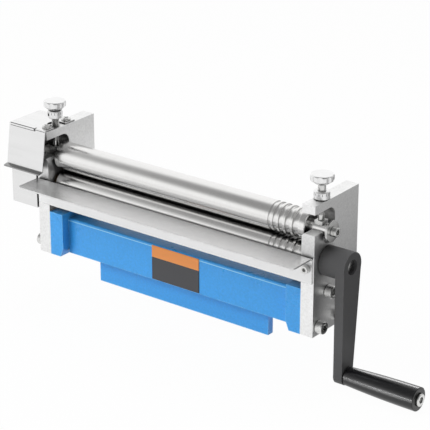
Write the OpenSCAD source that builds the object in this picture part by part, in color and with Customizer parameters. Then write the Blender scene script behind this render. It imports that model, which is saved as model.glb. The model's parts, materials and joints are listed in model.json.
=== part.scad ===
// Bench-vise slip roll: three rollers between two end plates on a cast beam.
// Millimetres, +Z up, +X towards the crank. The origin is the middle of the
// front face of the tongue that the vise grips.

/* [End plates] */
// Clear width between the two end plates
plate_gap = 325; // [300:1:360]
// Thickness of an end plate
plate_t = 15; // [14:0.5:17]
// Depth of an end plate behind the rear roller's axis
rear_edge = 15.5; // [13:0.5:25]
// Height of the metal above the journal slot
bridge_h = 9; // [7:0.5:14]
// Height of the journal slot's floor above the upper roller's axis
slot_rise = 0.5; // [0:0.1:1]
// Height of the open journal slot
slot_h = 21.5; // [18:0.5:26]
// Width of the oblong pocket behind the slot
pocket_w = 19.8; // [16:0.2:24]
// Depth of the pocket's floor below the upper roller's axis
pocket_drop = 14.3; // [12:0.1:16]
// Chamfer along the inner edge of the lower jaw
jaw_chamfer = 2.5; // [1:0.5:4]

/* [Rollers] */
// Diameter of each roller
roller_d = 30; // [28:0.5:31]
// Gap between a roller's end and the end plate
roller_end_gap = 2.5; // [2:0.25:4]
// Chamfer on the ends of a roller
roller_chamfer = 0.8; // [0.4:0.1:1.5]
// Distance of the two front rollers' axes from the plates' front
roller_set = 22; // [21:0.5:23]
// Gap between the end flanges of the beam and the lower roller
roller_lift = 12; // [9:0.5:20]
// Gap between the two front rollers as they stand
nip_gap = 1.5; // [1.4:0.1:2.4]
// Distance of the rear roller's axis behind the front ones
rear_offset = 38; // [34:0.5:45]
// Height of the rear roller's axis above the lower roller's
rear_rise = 2; // [0:0.5:4]
// Diameter of the lower roller's journals
low_journal_d = 16; // [14:0.5:17]
// Diameter of the upper roller's journals
up_journal_d = 14; // [12:0.5:14]
// Diameter of the rear roller's journals
rear_journal_d = 12; // [10:0.5:14]
// How far the upper roller's right journal stands out of the plate
up_journal_out = 4.2; // [3:0.2:5]

/* [Wire grooves] */
// Number of wire grooves in each roller
groove_count = 5; // [1:1:6]
// Width of the smallest groove
groove_min = 3; // [2:0.5:3.5]
// Growth from one groove to the next
groove_step = 1; // [0.5:0.25:1]
// Land between two grooves
groove_land = 2.7; // [2:0.1:4]
// Land between the last groove and the roller's end
groove_end = 7.2; // [5:0.2:12]

/* [Gears] */
// Number of teeth on each gear, whose pitch circles follow the rollers
teeth = 15; // [13:1:18]
// Face width of a gear
gear_w = 12; // [10:0.5:13]
// Distance of the gears from the left end plate
gear_off = 6.5; // [5:0.5:7]
// Diameter of the seats that carry the gears
gear_seat_d = 12; // [11.5:0.5:12]
// Width and height of a gear key
key_w = 4; // [3:0.5:4]
// Length of a gear key
key_l = 9; // [6:0.5:9.5]

/* [Pressure screws] */
// Diameter of an adjusting screw
rod_d = 8; // [6:0.5:10]
// Thread pitch of the adjusting screws
rod_pitch = 1.25; // [1:0.25:1.5]
// Depth of the thread's groove
thread_depth = 0.55; // [0.3:0.05:0.6]
// Diameter of the plain tip
tip_d = 6.4; // [5:0.2:6.6]
// Length of the plain tip
tip_l = 5.4; // [3:0.2:6]
// Height of the right knob's underside above the plate
knob_lift_right = 15; // [13:0.2:20]
// Height of the left knob's underside above the plate
knob_lift_left = 17.6; // [16:0.2:22]
// Diameter of a knob
knob_d = 23.6; // [22:0.2:30]
// Height of a knob
knob_h = 10.6; // [9:0.2:14]
// Height of the knob's gripped rim
knob_rim = 4.2; // [3:0.2:6]
// Diameter of the knob's boss
knob_boss_d = 11; // [10:0.2:14]
// Number of lobes round a knob
knob_lobes = 8; // [6:1:10]
// Depth of the hollows between the lobes
lobe_depth = 0.9; // [0.4:0.1:1.2]
// Diameter of a lock collar
collar_d = 16; // [14:0.2:18]
// Height of a lock collar
collar_h = 8.2; // [6:0.2:9]
// Diameter of the pin hole in a lock collar
collar_hole_d = 3.2; // [2:0.2:4]
// Length of a pressure pad along the journal
pad_l = 9.4; // [8:0.2:11]
// Width of a pressure pad
pad_w = 10; // [8:0.2:11]
// Thickness of a pressure pad over the journal
pad_t = 2.1; // [1.5:0.1:3]

/* [Cast beam] */
// Width of the end flanges that carry the plates
flange_w = 17.5; // [16:0.5:24]
// Height of the end flanges
flange_h = 49; // [48:0.5:54]
// Distance of the beam's front from the plates' front
beam_set = 10; // [8:0.5:14]
// Height of the beam's underside above the plates' foot
beam_foot = 2.5; // [1:0.5:5]
// Height of the beam's top above the plates' foot
beam_top = 42.5; // [38:0.5:44]
// Front to back depth of the beam
beam_d = 55.5; // [45:0.5:60]
// Thickness of the beam's upper wall
beam_wall = 8; // [6:0.5:10]
// Number of ribs under the upper wall
rib_count = 3; // [1:1:5]
// Thickness of a rib
rib_t = 8; // [6:0.5:12]
// Distance of the tongue's front from the plates' front
tongue_inset = 20; // [18:0.5:24]
// Thickness of the tongue
tongue_t = 8; // [7:0.5:12]
// Length of the tongue
tongue_w = 221; // [180:1:240]
// Height of the tongue below the beam
tongue_h = 27; // [24:0.5:32]
// Width of the slope at a flange's lower inner corner
flange_slope_w = 4; // [2:0.5:5]
// Height of the slope at a flange's lower inner corner
flange_slope_h = 10; // [6:0.5:14]

/* [Feed shelf and info plate] */
// Thickness of the sheet steel of the shelf and guards
sheet_t = 1.5; // [1:0.1:1.8]
// How far the shelf stands out in front of the plates
shelf_out = 34; // [26:0.5:44]
// Depth of the shelf's top below the top of the lower roller
shelf_drop = 5.8; // [3:0.2:8]
// Height of the folded shelf from its flange's lower edge
shelf_h = 27.9; // [22:0.1:32]
// Radius of the shelf's front corners
shelf_corner = 4.5; // [3:0.5:8]
// Depth of the shelf screws below the shelf's top
shelf_screw_drop = 12.2; // [10:0.2:18]
// Width of the info plate
info_w = 61; // [40:1:80]
// Margin between the info plate and the beam's upper and lower edges
info_edge = 1; // [0.5:0.1:6]
// Thickness of the info plate
info_t = 0.8; // [0.5:0.1:1.2]

/* [Gear guards] */
// Clear space between the gears' end screws and the guards' side
guard_clear = 8.5; // [4:0.5:15]
// Clear space behind the gears inside the guards
guard_back = 7; // [4:0.5:12]
// How far the guards stand in front of the plates
guard_front = 1; // [0.8:0.1:1.5]
// Depth of the cover's lower edge below the plates' top
cover_h = 42.5; // [38:0.5:46]
// How far the cover's front leans out at its lower edge
cover_lean = 6.5; // [5:0.5:10]
// Width of the lip along the cover's lower edge
lip_w = 5.5; // [3:0.5:8]
// Width of the cover's notch for the adjusting screw
notch_w = 18; // [16:0.5:20]
// Height of the gear box
box_h = 46.1; // [42:0.1:50]
// Gap between the gear box and the left plate
box_gap = 1.6; // [1:0.2:2.4]

/* [Crank] */
// Distance between the crank's axis and the grip's axis
crank_r = 115; // [90:1:160]
// Lean of the hanging crank towards the front, in degrees
crank_lean = 2; // [0:0.5:10]
// Outer diameter of the crank's hub
hub_d = 30.6; // [28:0.2:31]
// Length of the hub from the plate to the arm's outer face
hub_l = 29.5; // [26:0.5:36]
// Thickness of the crank arm
arm_t = 10; // [8:0.5:12]
// Radius of the arm's lower end
arm_end_r = 10; // [9:0.2:12]
// Diameter of the crank's seat on the lower roller
crank_seat_d = 14; // [12:0.5:15]
// Depth of the recess in front of the seat's end
hub_recess = 4; // [2:0.5:6]
// Diameter of the recess
hub_recess_d = 16; // [15.5:0.5:18]
// Length of the grip
grip_l = 81; // [60:1:110]
// Diameter of the grip at the arm
grip_small_d = 19.4; // [18:0.2:22]
// Diameter of the grip at its outer end
grip_big_d = 24.4; // [22:0.2:30]
// Diameter of the grip's bolt
grip_bolt_d = 8; // [6:0.5:10]

/* [Fasteners] */
// Diameter of the plate bolts
plate_bolt_d = 8; // [6:0.5:8]
// Diameter of the roller end screws
end_screw_d = 6; // [5:0.5:6]
// Diameter of the feed shelf screws
shelf_screw_d = 5; // [4:0.5:5]
// Diameter of the gear cover screws
cover_screw_d = 5; // [4:0.5:5]
// Diameter of the gear box screws
box_screw_d = 4; // [3:0.5:4]
// Diameter of the crank's set screw
set_screw_d = 6; // [5:0.5:6]

/* [Hidden] */
$fn = 64;

// Clearances
run_gap = 0.05;    // radial, between turning or sliding pieces
fit_gap = 0.03;    // radial, between fixed pieces
seat_gap = 0.2;    // between a screw's tip and its seat
face_gap = 0.1;    // between a nut and the face it locks on
side_gap = 0.3;    // each side of a sliding block, and in front of the upper journals
over = 1;          // how far a cut runs past the face it leaves

// Overall places, from the tongue's front face
plate_front = -tongue_inset;
plate_foot = tongue_h / 2 - beam_foot;
flange_top = plate_foot + flange_h;
plate_in = plate_gap / 2;
plate_out = plate_in + plate_t;
plate_mid = plate_in + plate_t / 2;

// Roller axes
roller_r = roller_d / 2;
roller_half = plate_in - roller_end_gap;
roller_y = plate_front + roller_set;
low_z = flange_top + roller_lift + roller_r;
up_z = low_z + roller_d + nip_gap;
rear_y = roller_y + rear_offset;
rear_z = low_z + rear_rise;

// Journal slot and pocket, and the plates' edges beyond them
slot_low = up_z + slot_rise;
slot_high = slot_low + slot_h;
pocket_r = pocket_w / 2;
pocket_y = roller_y - up_journal_d / 2 - side_gap + pocket_r;
pocket_low = up_z - pocket_drop;
plate_back = rear_y + rear_edge;
plate_top = slot_high + bridge_h;

// Bushes of the lower roller
bush_wall = 2;
bush_r = low_journal_d / 2 + bush_wall;
bush_rim = 2;
bush_rim_t = 1.5;

// Rear bearing blocks, which slide in blind slots of the end plates
block_w = 20;
block_h = 22;
block_depth = 11;
rear_down = 6;
rear_up = 8;
rear_screw_d = 8;
rear_screw_out = 14;
rear_nut_flats = 13;
rear_nut_h = 6.5;
block_x0 = plate_in + side_gap;
block_x1 = plate_in + block_depth - side_gap;
rear_screw_x = (block_x0 + block_x1) / 2;
block_low = rear_z - block_h / 2;

// Gears
pitch_r = roller_r;
tooth_module = 2 * pitch_r / teeth;
pressure_angle = 20;
tooth_thin = 0.2;
root_share = 1.25;
flank_steps = 6;
key_sunk_share = 0.6;
low_gear_turn = 90;
gear_x0 = plate_out + gear_off;
gear_x1 = gear_x0 + gear_w;
washer_t = 2;
washer_r = 11;
gear_washer_r = 10;
seat_short = 0.3;
tooth_turn = 360 / teeth;
up_gear_turn = low_gear_turn + 180 + tooth_turn / 2;

// Screw heads, as multiples of the shank's diameter
head_d_share = 1.63;
head_h_share = 1;
socket_share = 0.87;
socket_depth_share = 0.55;
head_chamfer_share = 0.1;
pan_d_share = 2;
pan_h_share = 0.55;
pan_crown_share = 0.7;
cross_w_share = 0.2;
cross_l_share = 1.1;
grub_socket_share = 0.65;
thread_crest_share = 0.24;

// Plate bolts, as distances from the plates' front and foot, or below the flanges' top
front_bolt_set = 9;
front_bolt_rise = 9.5;
mid_bolt_set = 24.5;
mid_bolt_drop = 6.6;
rear_bolt_set = 44;
rear_bolt_rise = 10;
bolt_places = [
  [front_bolt_set, front_bolt_rise], [mid_bolt_set, flange_h - mid_bolt_drop],
  [rear_bolt_set, rear_bolt_rise]
];
bolt_grip_share = 0.74;
plate_bolt_l = plate_t + flange_w * bolt_grip_share;

// Pressure pad, screw tip and knob
pad_top = up_z + up_journal_d / 2 + pad_t;
pad_wrap_share = 0.36;
tip_low = pad_top + seat_gap;
tip_chamfer = 0.4;
knob_top_share = 0.86;
knob_bore_share = 0.7;
knob_flare_shares = [[0.3, 0.28], [0.66, 0.64]];
knob_crown = 1.7;
knob_edge = 0.2;
knob_bore_h = knob_h * knob_bore_share;
lobe_r = knob_d / 4;
collar_chamfer = 0.8;
right_hole_turn = 120;
left_hole_turn = -110;

// Guards on the left
gear_end_x = gear_x1 + washer_t + end_screw_d * head_h_share;
guard_x0 = -gear_end_x - guard_clear - sheet_t;
guard_y0 = plate_front - guard_front;
guard_y1 = roller_y + pitch_r + tooth_module + guard_back;
cover_y0 = plate_front - sheet_t;
cover_top = plate_top + sheet_t;
cover_low = plate_top - cover_h;
cover_edge = sheet_t;
cover_screw_ahead = 13.7;
cover_screw_behind = 17.1;
cover_screw_places = [roller_y - cover_screw_ahead, roller_y + cover_screw_behind];
cover_screw_l = 6.5;
relief_w = 1.4;
relief_l = 3;
box_top = cover_low - side_gap;
box_low = box_top - box_h;
box_x1 = -plate_out - box_gap;
ear_w = 12;
ear_h = 9;
ear_screw_l = 5;

// Feed shelf
shelf_top = low_z + roller_r - shelf_drop;
shelf_low = shelf_top - shelf_h;
shelf_half = plate_out - sheet_t;
shelf_screw_z = shelf_top - shelf_screw_drop;
shelf_screw_l = 9;
bend_r = 2 * sheet_t;

// Beam
beam_y0 = plate_front + beam_set;
beam_low = plate_foot + beam_foot;
beam_high = plate_foot + beam_top;
beam_half = plate_in - flange_w;
rib_share = 0.9;
rib_reach = (beam_d - (tongue_t - beam_y0)) * rib_share;
rib_pitch = 2 * beam_half / (rib_count + 1);

// Crank
hub_r = hub_d / 2;
hub_gap = 0.4;
hub_x0 = plate_out + hub_gap;
hub_x1 = hub_x0 + hub_l;
arm_x0 = hub_x1 - arm_t;
crank_seat_end = hub_x1 - hub_recess;
set_screw_x = hub_x0 + (hub_l - arm_t) / 2;
seat_flat = 0.6;
set_screw_short = 0.5;
arm_side_share = 0.985;
grip_gap = 1;
grip_x0 = hub_x1 + grip_gap;
grip_x1 = grip_x0 + grip_l;
grip_round = 1.6;
grip_counter_share = 1.7;
grip_counter_d = grip_bolt_d * grip_counter_share;
grip_counter_h = 5;
grip_bolt_short = 0.5;
grip_swell_shares = [[0.4, 0.62], [0.7, 0.92]];

// Helpers: solids laid along X, and outlines drawn in the side view (Y, Z)

module rod_x(x0, x1, r) {
  translate([x0, 0, 0]) rotate([0, 90, 0]) cylinder(h = x1 - x0, r = r);
}

module turned_x(profile) {
  rotate([0, 90, 0]) rotate_extrude() polygon(profile);
}

module side_sheet(x0, x1) {
  translate([x0, 0, 0]) rotate([90, 0, 90]) linear_extrude(height = x1 - x0) children();
}

module box(low, high) {
  translate(low) cube(high - low);
}

module at_low() {
  translate([0, roller_y, low_z]) children();
}

module at_up() {
  translate([0, roller_y, up_z]) children();
}

module at_rear() {
  translate([0, rear_y, rear_z]) children();
}

module at_crank() {
  at_low() rotate([-crank_lean, 0, 0]) children();
}

module to_left() {
  mirror([1, 0, 0]) children();
}

// Cap screw with a hexagon socket: the head stands on +Z from zero, the shank goes down

module cap_screw(d, l) {
  head_r = d * head_d_share / 2;
  head_h = d * head_h_share;
  rim = d * head_chamfer_share;
  difference() {
    rotate_extrude()
      polygon([[0, -l], [d / 2 - rim, -l], [d / 2, -l + rim], [d / 2, 0], [head_r, 0],
               [head_r, head_h - rim], [head_r - rim, head_h], [0, head_h]]);
    translate([0, 0, head_h * (1 - socket_depth_share)])
      cylinder(h = head_h, d = d * socket_share, $fn = 6);
  }
}

// Pan-head screw with a cross recess

module pan_screw(d, l) {
  head_r = d * pan_d_share / 2;
  head_h = d * pan_h_share;
  difference() {
    rotate_extrude()
      polygon([[0, -l], [d / 2, -l], [d / 2, 0], [head_r, 0],
               [head_r, head_h * (1 - pan_crown_share / 2)],
               [head_r * pan_crown_share, head_h], [0, head_h]]);
    for (turn = [0, 90])
      rotate([0, 0, turn])
        translate([-d * cross_l_share / 2, -d * cross_w_share / 2, head_h / 2])
          cube([d * cross_l_share, d * cross_w_share, head_h]);
  }
}

// Grub screw from z0 up to z1, with its socket at the lower end

module grub_screw(d, z0, z1) {
  rim = d * head_chamfer_share;
  difference() {
    rotate_extrude()
      polygon([[0, z0], [d / 2 - rim, z0], [d / 2, z0 + rim],
               [d / 2, z1 - rim], [d / 2 - rim, z1], [0, z1]]);
    translate([0, 0, z0 - over])
      cylinder(h = over + d * socket_depth_share, d = d * grub_socket_share, $fn = 6);
  }
}

// Cast beam with its two end flanges and the tongue for the vise

module flange_outline() {
  polygon([[beam_half, plate_foot + flange_slope_h], [beam_half + flange_slope_w, plate_foot],
           [plate_in, plate_foot], [plate_in, flange_top], [beam_half, flange_top]]);
}

module end_flange() {
  difference() {
    translate([0, plate_back, 0]) rotate([90, 0, 0])
      linear_extrude(height = plate_back - plate_front) flange_outline();
    for (p = bolt_places)
      translate([0, plate_front + p[0], plate_foot + p[1]])
        rod_x(plate_out - plate_bolt_l - over, plate_in + over, plate_bolt_d / 2 + fit_gap);
  }
}

module rib_outline() {
  polygon([[tongue_t, beam_high - beam_wall], [tongue_t, beam_low + beam_wall],
           [tongue_t + rib_reach, beam_high - beam_wall]]);
}

module base_casting() {
  color("dodgerblue") {
    end_flange();
    to_left() end_flange();
    box([-beam_half, beam_y0, beam_low], [beam_half, tongue_t, beam_high]);
    box([-beam_half, tongue_t, beam_high - beam_wall], [beam_half, beam_y0 + beam_d, beam_high]);
    box([-tongue_w / 2, 0, -tongue_h / 2], [tongue_w / 2, tongue_t, beam_low]);
    for (i = [1:rib_count])
      side_sheet(-beam_half + i * rib_pitch - rib_t / 2, -beam_half + i * rib_pitch + rib_t / 2)
        rib_outline();
  }
}

// End plates: slot and pocket for the upper roller, bush bore, blind rear slot

module pocket_cut() {
  for (z = [pocket_low + pocket_r, slot_high - pocket_r])
    translate([0, pocket_y, z]) rod_x(plate_in - over, plate_out + over, pocket_r);
  box([plate_in - over, pocket_y - pocket_r, pocket_low + pocket_r],
      [plate_out + over, pocket_y + pocket_r, slot_high - pocket_r]);
  box([plate_in - over, plate_front - over, slot_low], [plate_out + over, pocket_y, slot_high]);
}

module jaw_cut() {
  translate([plate_in, plate_front - over, slot_low])
    rotate([0, 45, 0])
      translate([-jaw_chamfer / sqrt(2), 0, -jaw_chamfer / sqrt(2)])
        cube([jaw_chamfer * sqrt(2), over + pocket_y - pocket_r - plate_front, jaw_chamfer * sqrt(2)]);
}

module rear_slot_cut() {
  box([plate_in - over, rear_y - block_w / 2 - side_gap, block_low - rear_down - side_gap],
      [plate_in + block_depth, rear_y + block_w / 2 + side_gap, block_low + block_h + rear_up + side_gap]);
  translate([rear_screw_x, rear_y, plate_foot - over])
    cylinder(h = over + block_low - plate_foot, r = rear_screw_d / 2 + run_gap);
}

module end_plate() {
  difference() {
    box([plate_in, plate_front, plate_foot], [plate_out, plate_back, plate_top]);
    pocket_cut();
    jaw_cut();
    rear_slot_cut();
    at_low() rod_x(plate_in - over, plate_out + over, bush_r + fit_gap);
    translate([plate_mid, roller_y, slot_high - over])
      cylinder(h = plate_top - slot_high + 2 * over, r = rod_d / 2 + run_gap);
    for (p = bolt_places)
      translate([0, plate_front + p[0], plate_foot + p[1]])
        rod_x(plate_in - over, plate_out + over, plate_bolt_d / 2 + fit_gap);
    translate([plate_mid, plate_front - over, shelf_screw_z])
      rotate([-90, 0, 0]) cylinder(h = over + shelf_screw_l, r = shelf_screw_d / 2 + fit_gap);
  }
}

module end_plate_right() {
  color("silver") end_plate();
}

module end_plate_left() {
  color("silver") difference() {
    to_left() end_plate();
    for (y = cover_screw_places)
      translate([-plate_mid, y, plate_top - cover_screw_l])
        cylinder(h = cover_screw_l + over, r = cover_screw_d / 2 + fit_gap);
    gear_box_screw_places()
      cylinder(h = 2 * ear_screw_l, r = box_screw_d / 2 + fit_gap, center = true);
  }
}

module plate_bolts() {
  for (p = bolt_places)
    translate([plate_out, plate_front + p[0], plate_foot + p[1]])
      rotate([0, 90, 0]) cap_screw(plate_bolt_d, plate_bolt_l);
}

module plate_bolts_right() {
  color("gainsboro") plate_bolts();
}

module plate_bolts_left() {
  color("gainsboro") to_left() plate_bolts();
}

// Feed shelf: a flange on the plates' front faces, folded forward into the shelf

module feed_shelf() {
  shelf_y0 = plate_front - shelf_out;
  flange_y0 = plate_front - sheet_t;
  color("lightgray") difference() {
    union() {
      box([-shelf_half, flange_y0, shelf_low], [shelf_half, plate_front, shelf_top - bend_r]);
      box([-shelf_half, shelf_y0 + shelf_corner, shelf_top - sheet_t],
          [shelf_half, plate_front - bend_r, shelf_top]);
      box([-shelf_half + shelf_corner, shelf_y0, shelf_top - sheet_t],
          [shelf_half - shelf_corner, shelf_y0 + shelf_corner, shelf_top]);
      for (x = [-1, 1])
        translate([x * (shelf_half - shelf_corner), shelf_y0 + shelf_corner, shelf_top - sheet_t])
          cylinder(h = sheet_t, r = shelf_corner);
      intersection() {
        translate([0, plate_front - bend_r, shelf_top - bend_r]) difference() {
          rod_x(-shelf_half, shelf_half, bend_r);
          rod_x(-shelf_half - over, shelf_half + over, bend_r - sheet_t);
        }
        box([-shelf_half, plate_front - bend_r, shelf_top - bend_r], [shelf_half, plate_front, shelf_top]);
      }
    }
    for (x = [-1, 1])
      translate([x * plate_mid, plate_front + over, shelf_screw_z])
        rotate([90, 0, 0]) cylinder(h = sheet_t + 2 * over, r = shelf_screw_d / 2 + fit_gap);
  }
}

module feed_shelf_screws() {
  color("gainsboro")
    for (x = [-1, 1])
      translate([x * plate_mid, plate_front - sheet_t, shelf_screw_z])
        rotate([90, 0, 0]) cap_screw(shelf_screw_d, shelf_screw_l);
}

// Bare info plate on the beam's front

module info_plate() {
  color("dimgray")
    box([-info_w / 2, beam_y0 - info_t, beam_low + info_edge],
        [info_w / 2, beam_y0, beam_high - info_edge]);
}

// Upper gear guard: top, leaning front with a lip, left side and rear, open below

module cover_front_outline(in) {
  lean_y = cover_y0 - cover_lean;
  polygon([[cover_y0 + in, cover_top], [cover_y0 + in + sheet_t, cover_top],
           [lean_y + in + sheet_t, cover_low], [lean_y + in, cover_low]]);
}

module gear_cover() {
  lean_y = cover_y0 - cover_lean;
  side_x1 = guard_x0 + sheet_t;
  top_x1 = -plate_in - cover_edge;
  color("gainsboro") difference() {
    union() {
      box([guard_x0, cover_y0, plate_top], [top_x1, guard_y1, cover_top]);
      side_sheet(guard_x0, top_x1) cover_front_outline(0);
      box([guard_x0, lean_y - lip_w, cover_low], [top_x1, lean_y + sheet_t, cover_low + sheet_t]);
      side_sheet(guard_x0, side_x1)
        polygon([[cover_y0, cover_top], [guard_y1, cover_top], [guard_y1, cover_low], [lean_y, cover_low]]);
      box([guard_x0, guard_y1 - sheet_t, cover_low], [-plate_out - side_gap, guard_y1, cover_top]);
    }
    translate([-plate_mid, roller_y, plate_top - over]) cylinder(h = sheet_t + 2 * over, d = notch_w);
    box([-plate_mid, roller_y - notch_w / 2, plate_top - over],
        [top_x1 + over, roller_y + notch_w / 2, cover_top + over]);
    box([-plate_out - relief_w, cover_y0 - over, cover_top - relief_l],
        [-plate_out, cover_y0 + relief_l, cover_top + over]);
    for (y = cover_screw_places)
      translate([-plate_mid, y, plate_top - over])
        cylinder(h = sheet_t + 2 * over, r = cover_screw_d / 2 + fit_gap);
  }
}

module gear_cover_screws() {
  color("silver")
    for (y = cover_screw_places)
      translate([-plate_mid, y, cover_top])
        pan_screw(cover_screw_d, cover_screw_l + sheet_t - fit_gap);
}

// Lower gear guard: an open-topped box with two ears on the left plate

rear_ear_y = guard_y1 + ear_w / 2;
rear_ear_z = box_low + ear_h / 2;
foot_ear_y = guard_y1 - ear_w / 2;
foot_ear_z = box_low - ear_h / 2;

module gear_box_screw_places() {
  for (p = [[rear_ear_y, rear_ear_z], [foot_ear_y, foot_ear_z]])
    translate([-plate_out, p[0], p[1]]) rotate([0, -90, 0]) children();
}

module gear_box() {
  box_y0 = guard_y0 + sheet_t;
  side_x1 = guard_x0 + sheet_t;
  color("gainsboro") difference() {
    union() {
      box([guard_x0, guard_y0, box_low], [box_x1, guard_y1, box_low + sheet_t]);
      box([guard_x0, guard_y0, box_low], [box_x1, box_y0, box_top]);
      box([guard_x0, guard_y0, box_low], [side_x1, guard_y1, box_top]);
      box([guard_x0, guard_y1 - sheet_t, box_low], [box_x1, guard_y1, box_top]);
      box([box_x1 - sheet_t, guard_y1 - sheet_t, box_low], [-plate_out, guard_y1, box_low + ear_h]);
      box([-plate_out - sheet_t, guard_y1 - sheet_t, box_low],
          [-plate_out, guard_y1 + ear_w, box_low + ear_h]);
      box([box_x1 - sheet_t, guard_y1 - ear_w, box_low], [-plate_out, guard_y1, box_low + sheet_t]);
      box([-plate_out - sheet_t, guard_y1 - ear_w, box_low - ear_h],
          [-plate_out, guard_y1, box_low + sheet_t]);
    }
    gear_box_screw_places()
      cylinder(h = 2 * (sheet_t + over), r = box_screw_d / 2 + fit_gap, center = true);
  }
}

module gear_box_screws() {
  color("silver")
    gear_box_screw_places() translate([0, 0, sheet_t]) pan_screw(box_screw_d, ear_screw_l);
}

// Flanged bronze bush in the right plate

module bush() {
  at_low() difference() {
    union() {
      rod_x(plate_in, plate_out, bush_r);
      rod_x(plate_in - bush_rim_t, plate_in, bush_r + bush_rim);
    }
    rod_x(plate_in - bush_rim_t - over, plate_out + over, low_journal_d / 2 + run_gap);
  }
}

module lower_bush_right() {
  color("peru") bush();
}

module lower_bush_left() {
  color("peru") to_left() bush();
}

// Wire grooves, the widest nearest the crank

function groove_w(i) = groove_min + i * groove_step;
function groove_x(i) = i == groove_count - 1
  ? roller_half - groove_end - groove_w(i) / 2
  : groove_x(i + 1) - (groove_w(i) + groove_w(i + 1)) / 2 - groove_land;

module wire_grooves() {
  for (i = [0:groove_count - 1])
    translate([groove_x(i), 0, 0]) rotate([0, 90, 0])
      rotate_extrude() translate([roller_r, 0]) circle(d = groove_w(i));
}

// Roller body with its chamfered ends, as points of radius and place along X

function body_profile(left_r, right_r) = [
  [left_r, -roller_half], [roller_r - roller_chamfer, -roller_half],
  [roller_r, -roller_half + roller_chamfer], [roller_r, roller_half - roller_chamfer],
  [roller_r - roller_chamfer, roller_half], [right_r, roller_half]
];

// Keyway over a gear seat, open towards the seat's end

module keyway() {
  box([-gear_x1 - over, -key_w / 2 - run_gap, gear_seat_d / 2 - key_w * key_sunk_share],
      [-gear_x1 + (gear_w + key_l) / 2 + side_gap, key_w / 2 + run_gap, gear_seat_d]);
}

module end_bore(x0, x1) {
  rod_x(x0, x1, end_screw_d / 2 + fit_gap);
}

end_bore_l = 14;

// Lower roller: gear seat on the left, crank seat on the right

module lower_roller() {
  neck_x = plate_out + hub_gap / 2;
  jr = low_journal_d / 2;
  color("silver") difference() {
    at_low() difference() {
      turned_x(concat(
        [[0, -gear_x1 + seat_short], [gear_seat_d / 2, -gear_x1 + seat_short], [gear_seat_d / 2, -gear_x0],
         [crank_seat_d / 2, -gear_x0], [crank_seat_d / 2, -neck_x], [jr, -neck_x]],
        body_profile(jr, jr),
        [[jr, neck_x], [crank_seat_d / 2, neck_x], [crank_seat_d / 2, crank_seat_end],
         [0, crank_seat_end]]));
      wire_grooves();
      keyway();
      end_bore(-gear_x1 - over, -gear_x1 + end_bore_l);
    }
    at_crank()
      box([set_screw_x - set_screw_d, crank_seat_d / 2 - seat_flat, -crank_seat_d],
          [set_screw_x + set_screw_d, crank_seat_d, crank_seat_d]);
  }
}

// Upper roller: the same gear seat, and a plain journal out of the right plate

module upper_roller() {
  jr = up_journal_d / 2;
  x1 = plate_out + up_journal_out;
  color("silver") at_up() difference() {
    turned_x(concat(
      [[0, -gear_x1 + seat_short], [gear_seat_d / 2, -gear_x1 + seat_short], [gear_seat_d / 2, -gear_x0],
       [jr, -gear_x0]],
      body_profile(jr, jr),
      [[jr, x1], [0, x1]]));
    wire_grooves();
    keyway();
    end_bore(-gear_x1 - over, -gear_x1 + end_bore_l);
    end_bore(x1 - end_bore_l, x1 + over);
  }
}

// Rear roller between the two sliding blocks

module rear_roller() {
  jr = rear_journal_d / 2;
  x1 = block_x1 - side_gap;
  color("silver") at_rear() difference() {
    turned_x(concat([[0, -x1], [jr, -x1]], body_profile(jr, jr), [[jr, x1], [0, x1]]));
    wire_grooves();
  }
}

// Involute gear: tooth flanks worked out from the base circle

base_r = pitch_r * cos(pressure_angle);
tip_r = pitch_r + tooth_module;
root_r = pitch_r - root_share * tooth_module;

function unwind(r) = sqrt(max(0, pow(r / base_r, 2) - 1));
function flank_turn(r) = unwind(r) * 180 / PI - atan(unwind(r));
half_tooth = 90 / teeth - tooth_thin / pitch_r * 90 / PI + flank_turn(pitch_r);
function flank_r(i) = i == 0 ? root_r : base_r + (tip_r - base_r) * (i - 1) / (flank_steps - 1);
function polar(r, a) = [r * cos(a), r * sin(a)];

module gear_outline(turn) {
  polygon([
    for (t = [0:teeth - 1])
      for (side = [-1, 1])
        for (k = [0:flank_steps])
          let (i = side < 0 ? k : flank_steps - k)
            polar(flank_r(i), turn + t * tooth_turn + side * (half_tooth - flank_turn(flank_r(i))))
  ]);
}

module gear(turn) {
  difference() {
    side_sheet(-gear_x1, -gear_x0) gear_outline(turn);
    rod_x(-gear_x1 - over, -gear_x0 + over, gear_seat_d / 2 + fit_gap);
    box([-gear_x1 - over, -key_w / 2 - run_gap, 0],
        [-gear_x0 + over, key_w / 2 + run_gap, gear_seat_d / 2 + key_w * (1 - key_sunk_share) + face_gap]);
  }
}

module lower_gear() {
  color("darkgray") at_low() gear(low_gear_turn);
}

module upper_gear() {
  color("darkgray") at_up() gear(up_gear_turn);
}

// Parallel key: the lower part lies in the roller, the upper part in the gear

module gear_key() {
  x_mid = -(gear_x0 + gear_x1) / 2;
  box([x_mid - key_l / 2, -key_w / 2, gear_seat_d / 2 - key_w * key_sunk_share + fit_gap],
      [x_mid + key_l / 2, key_w / 2, gear_seat_d / 2 + key_w * (1 - key_sunk_share)]);
}

module lower_gear_key() {
  color("dimgray") at_low() gear_key();
}

module upper_gear_key() {
  color("dimgray") at_up() gear_key();
}

module washer(x0, r) {
  difference() {
    rod_x(x0, x0 + washer_t, r);
    rod_x(x0 - over, x0 + washer_t + over, end_screw_d / 2 + side_gap);
  }
}

module gear_end_screw() {
  translate([-gear_x1 - washer_t, 0, 0])
    rotate([0, -90, 0]) cap_screw(end_screw_d, end_bore_l - seat_short);
}

module lower_gear_washer() {
  color("lightgray") at_low() washer(-gear_x1 - washer_t, gear_washer_r);
}

module lower_gear_screw() {
  color("gainsboro") at_low() gear_end_screw();
}

module upper_washers() {
  color("lightgray") at_up() {
    washer(-gear_x1 - washer_t, gear_washer_r);
    washer(plate_out + up_journal_out, washer_r);
  }
}

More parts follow.
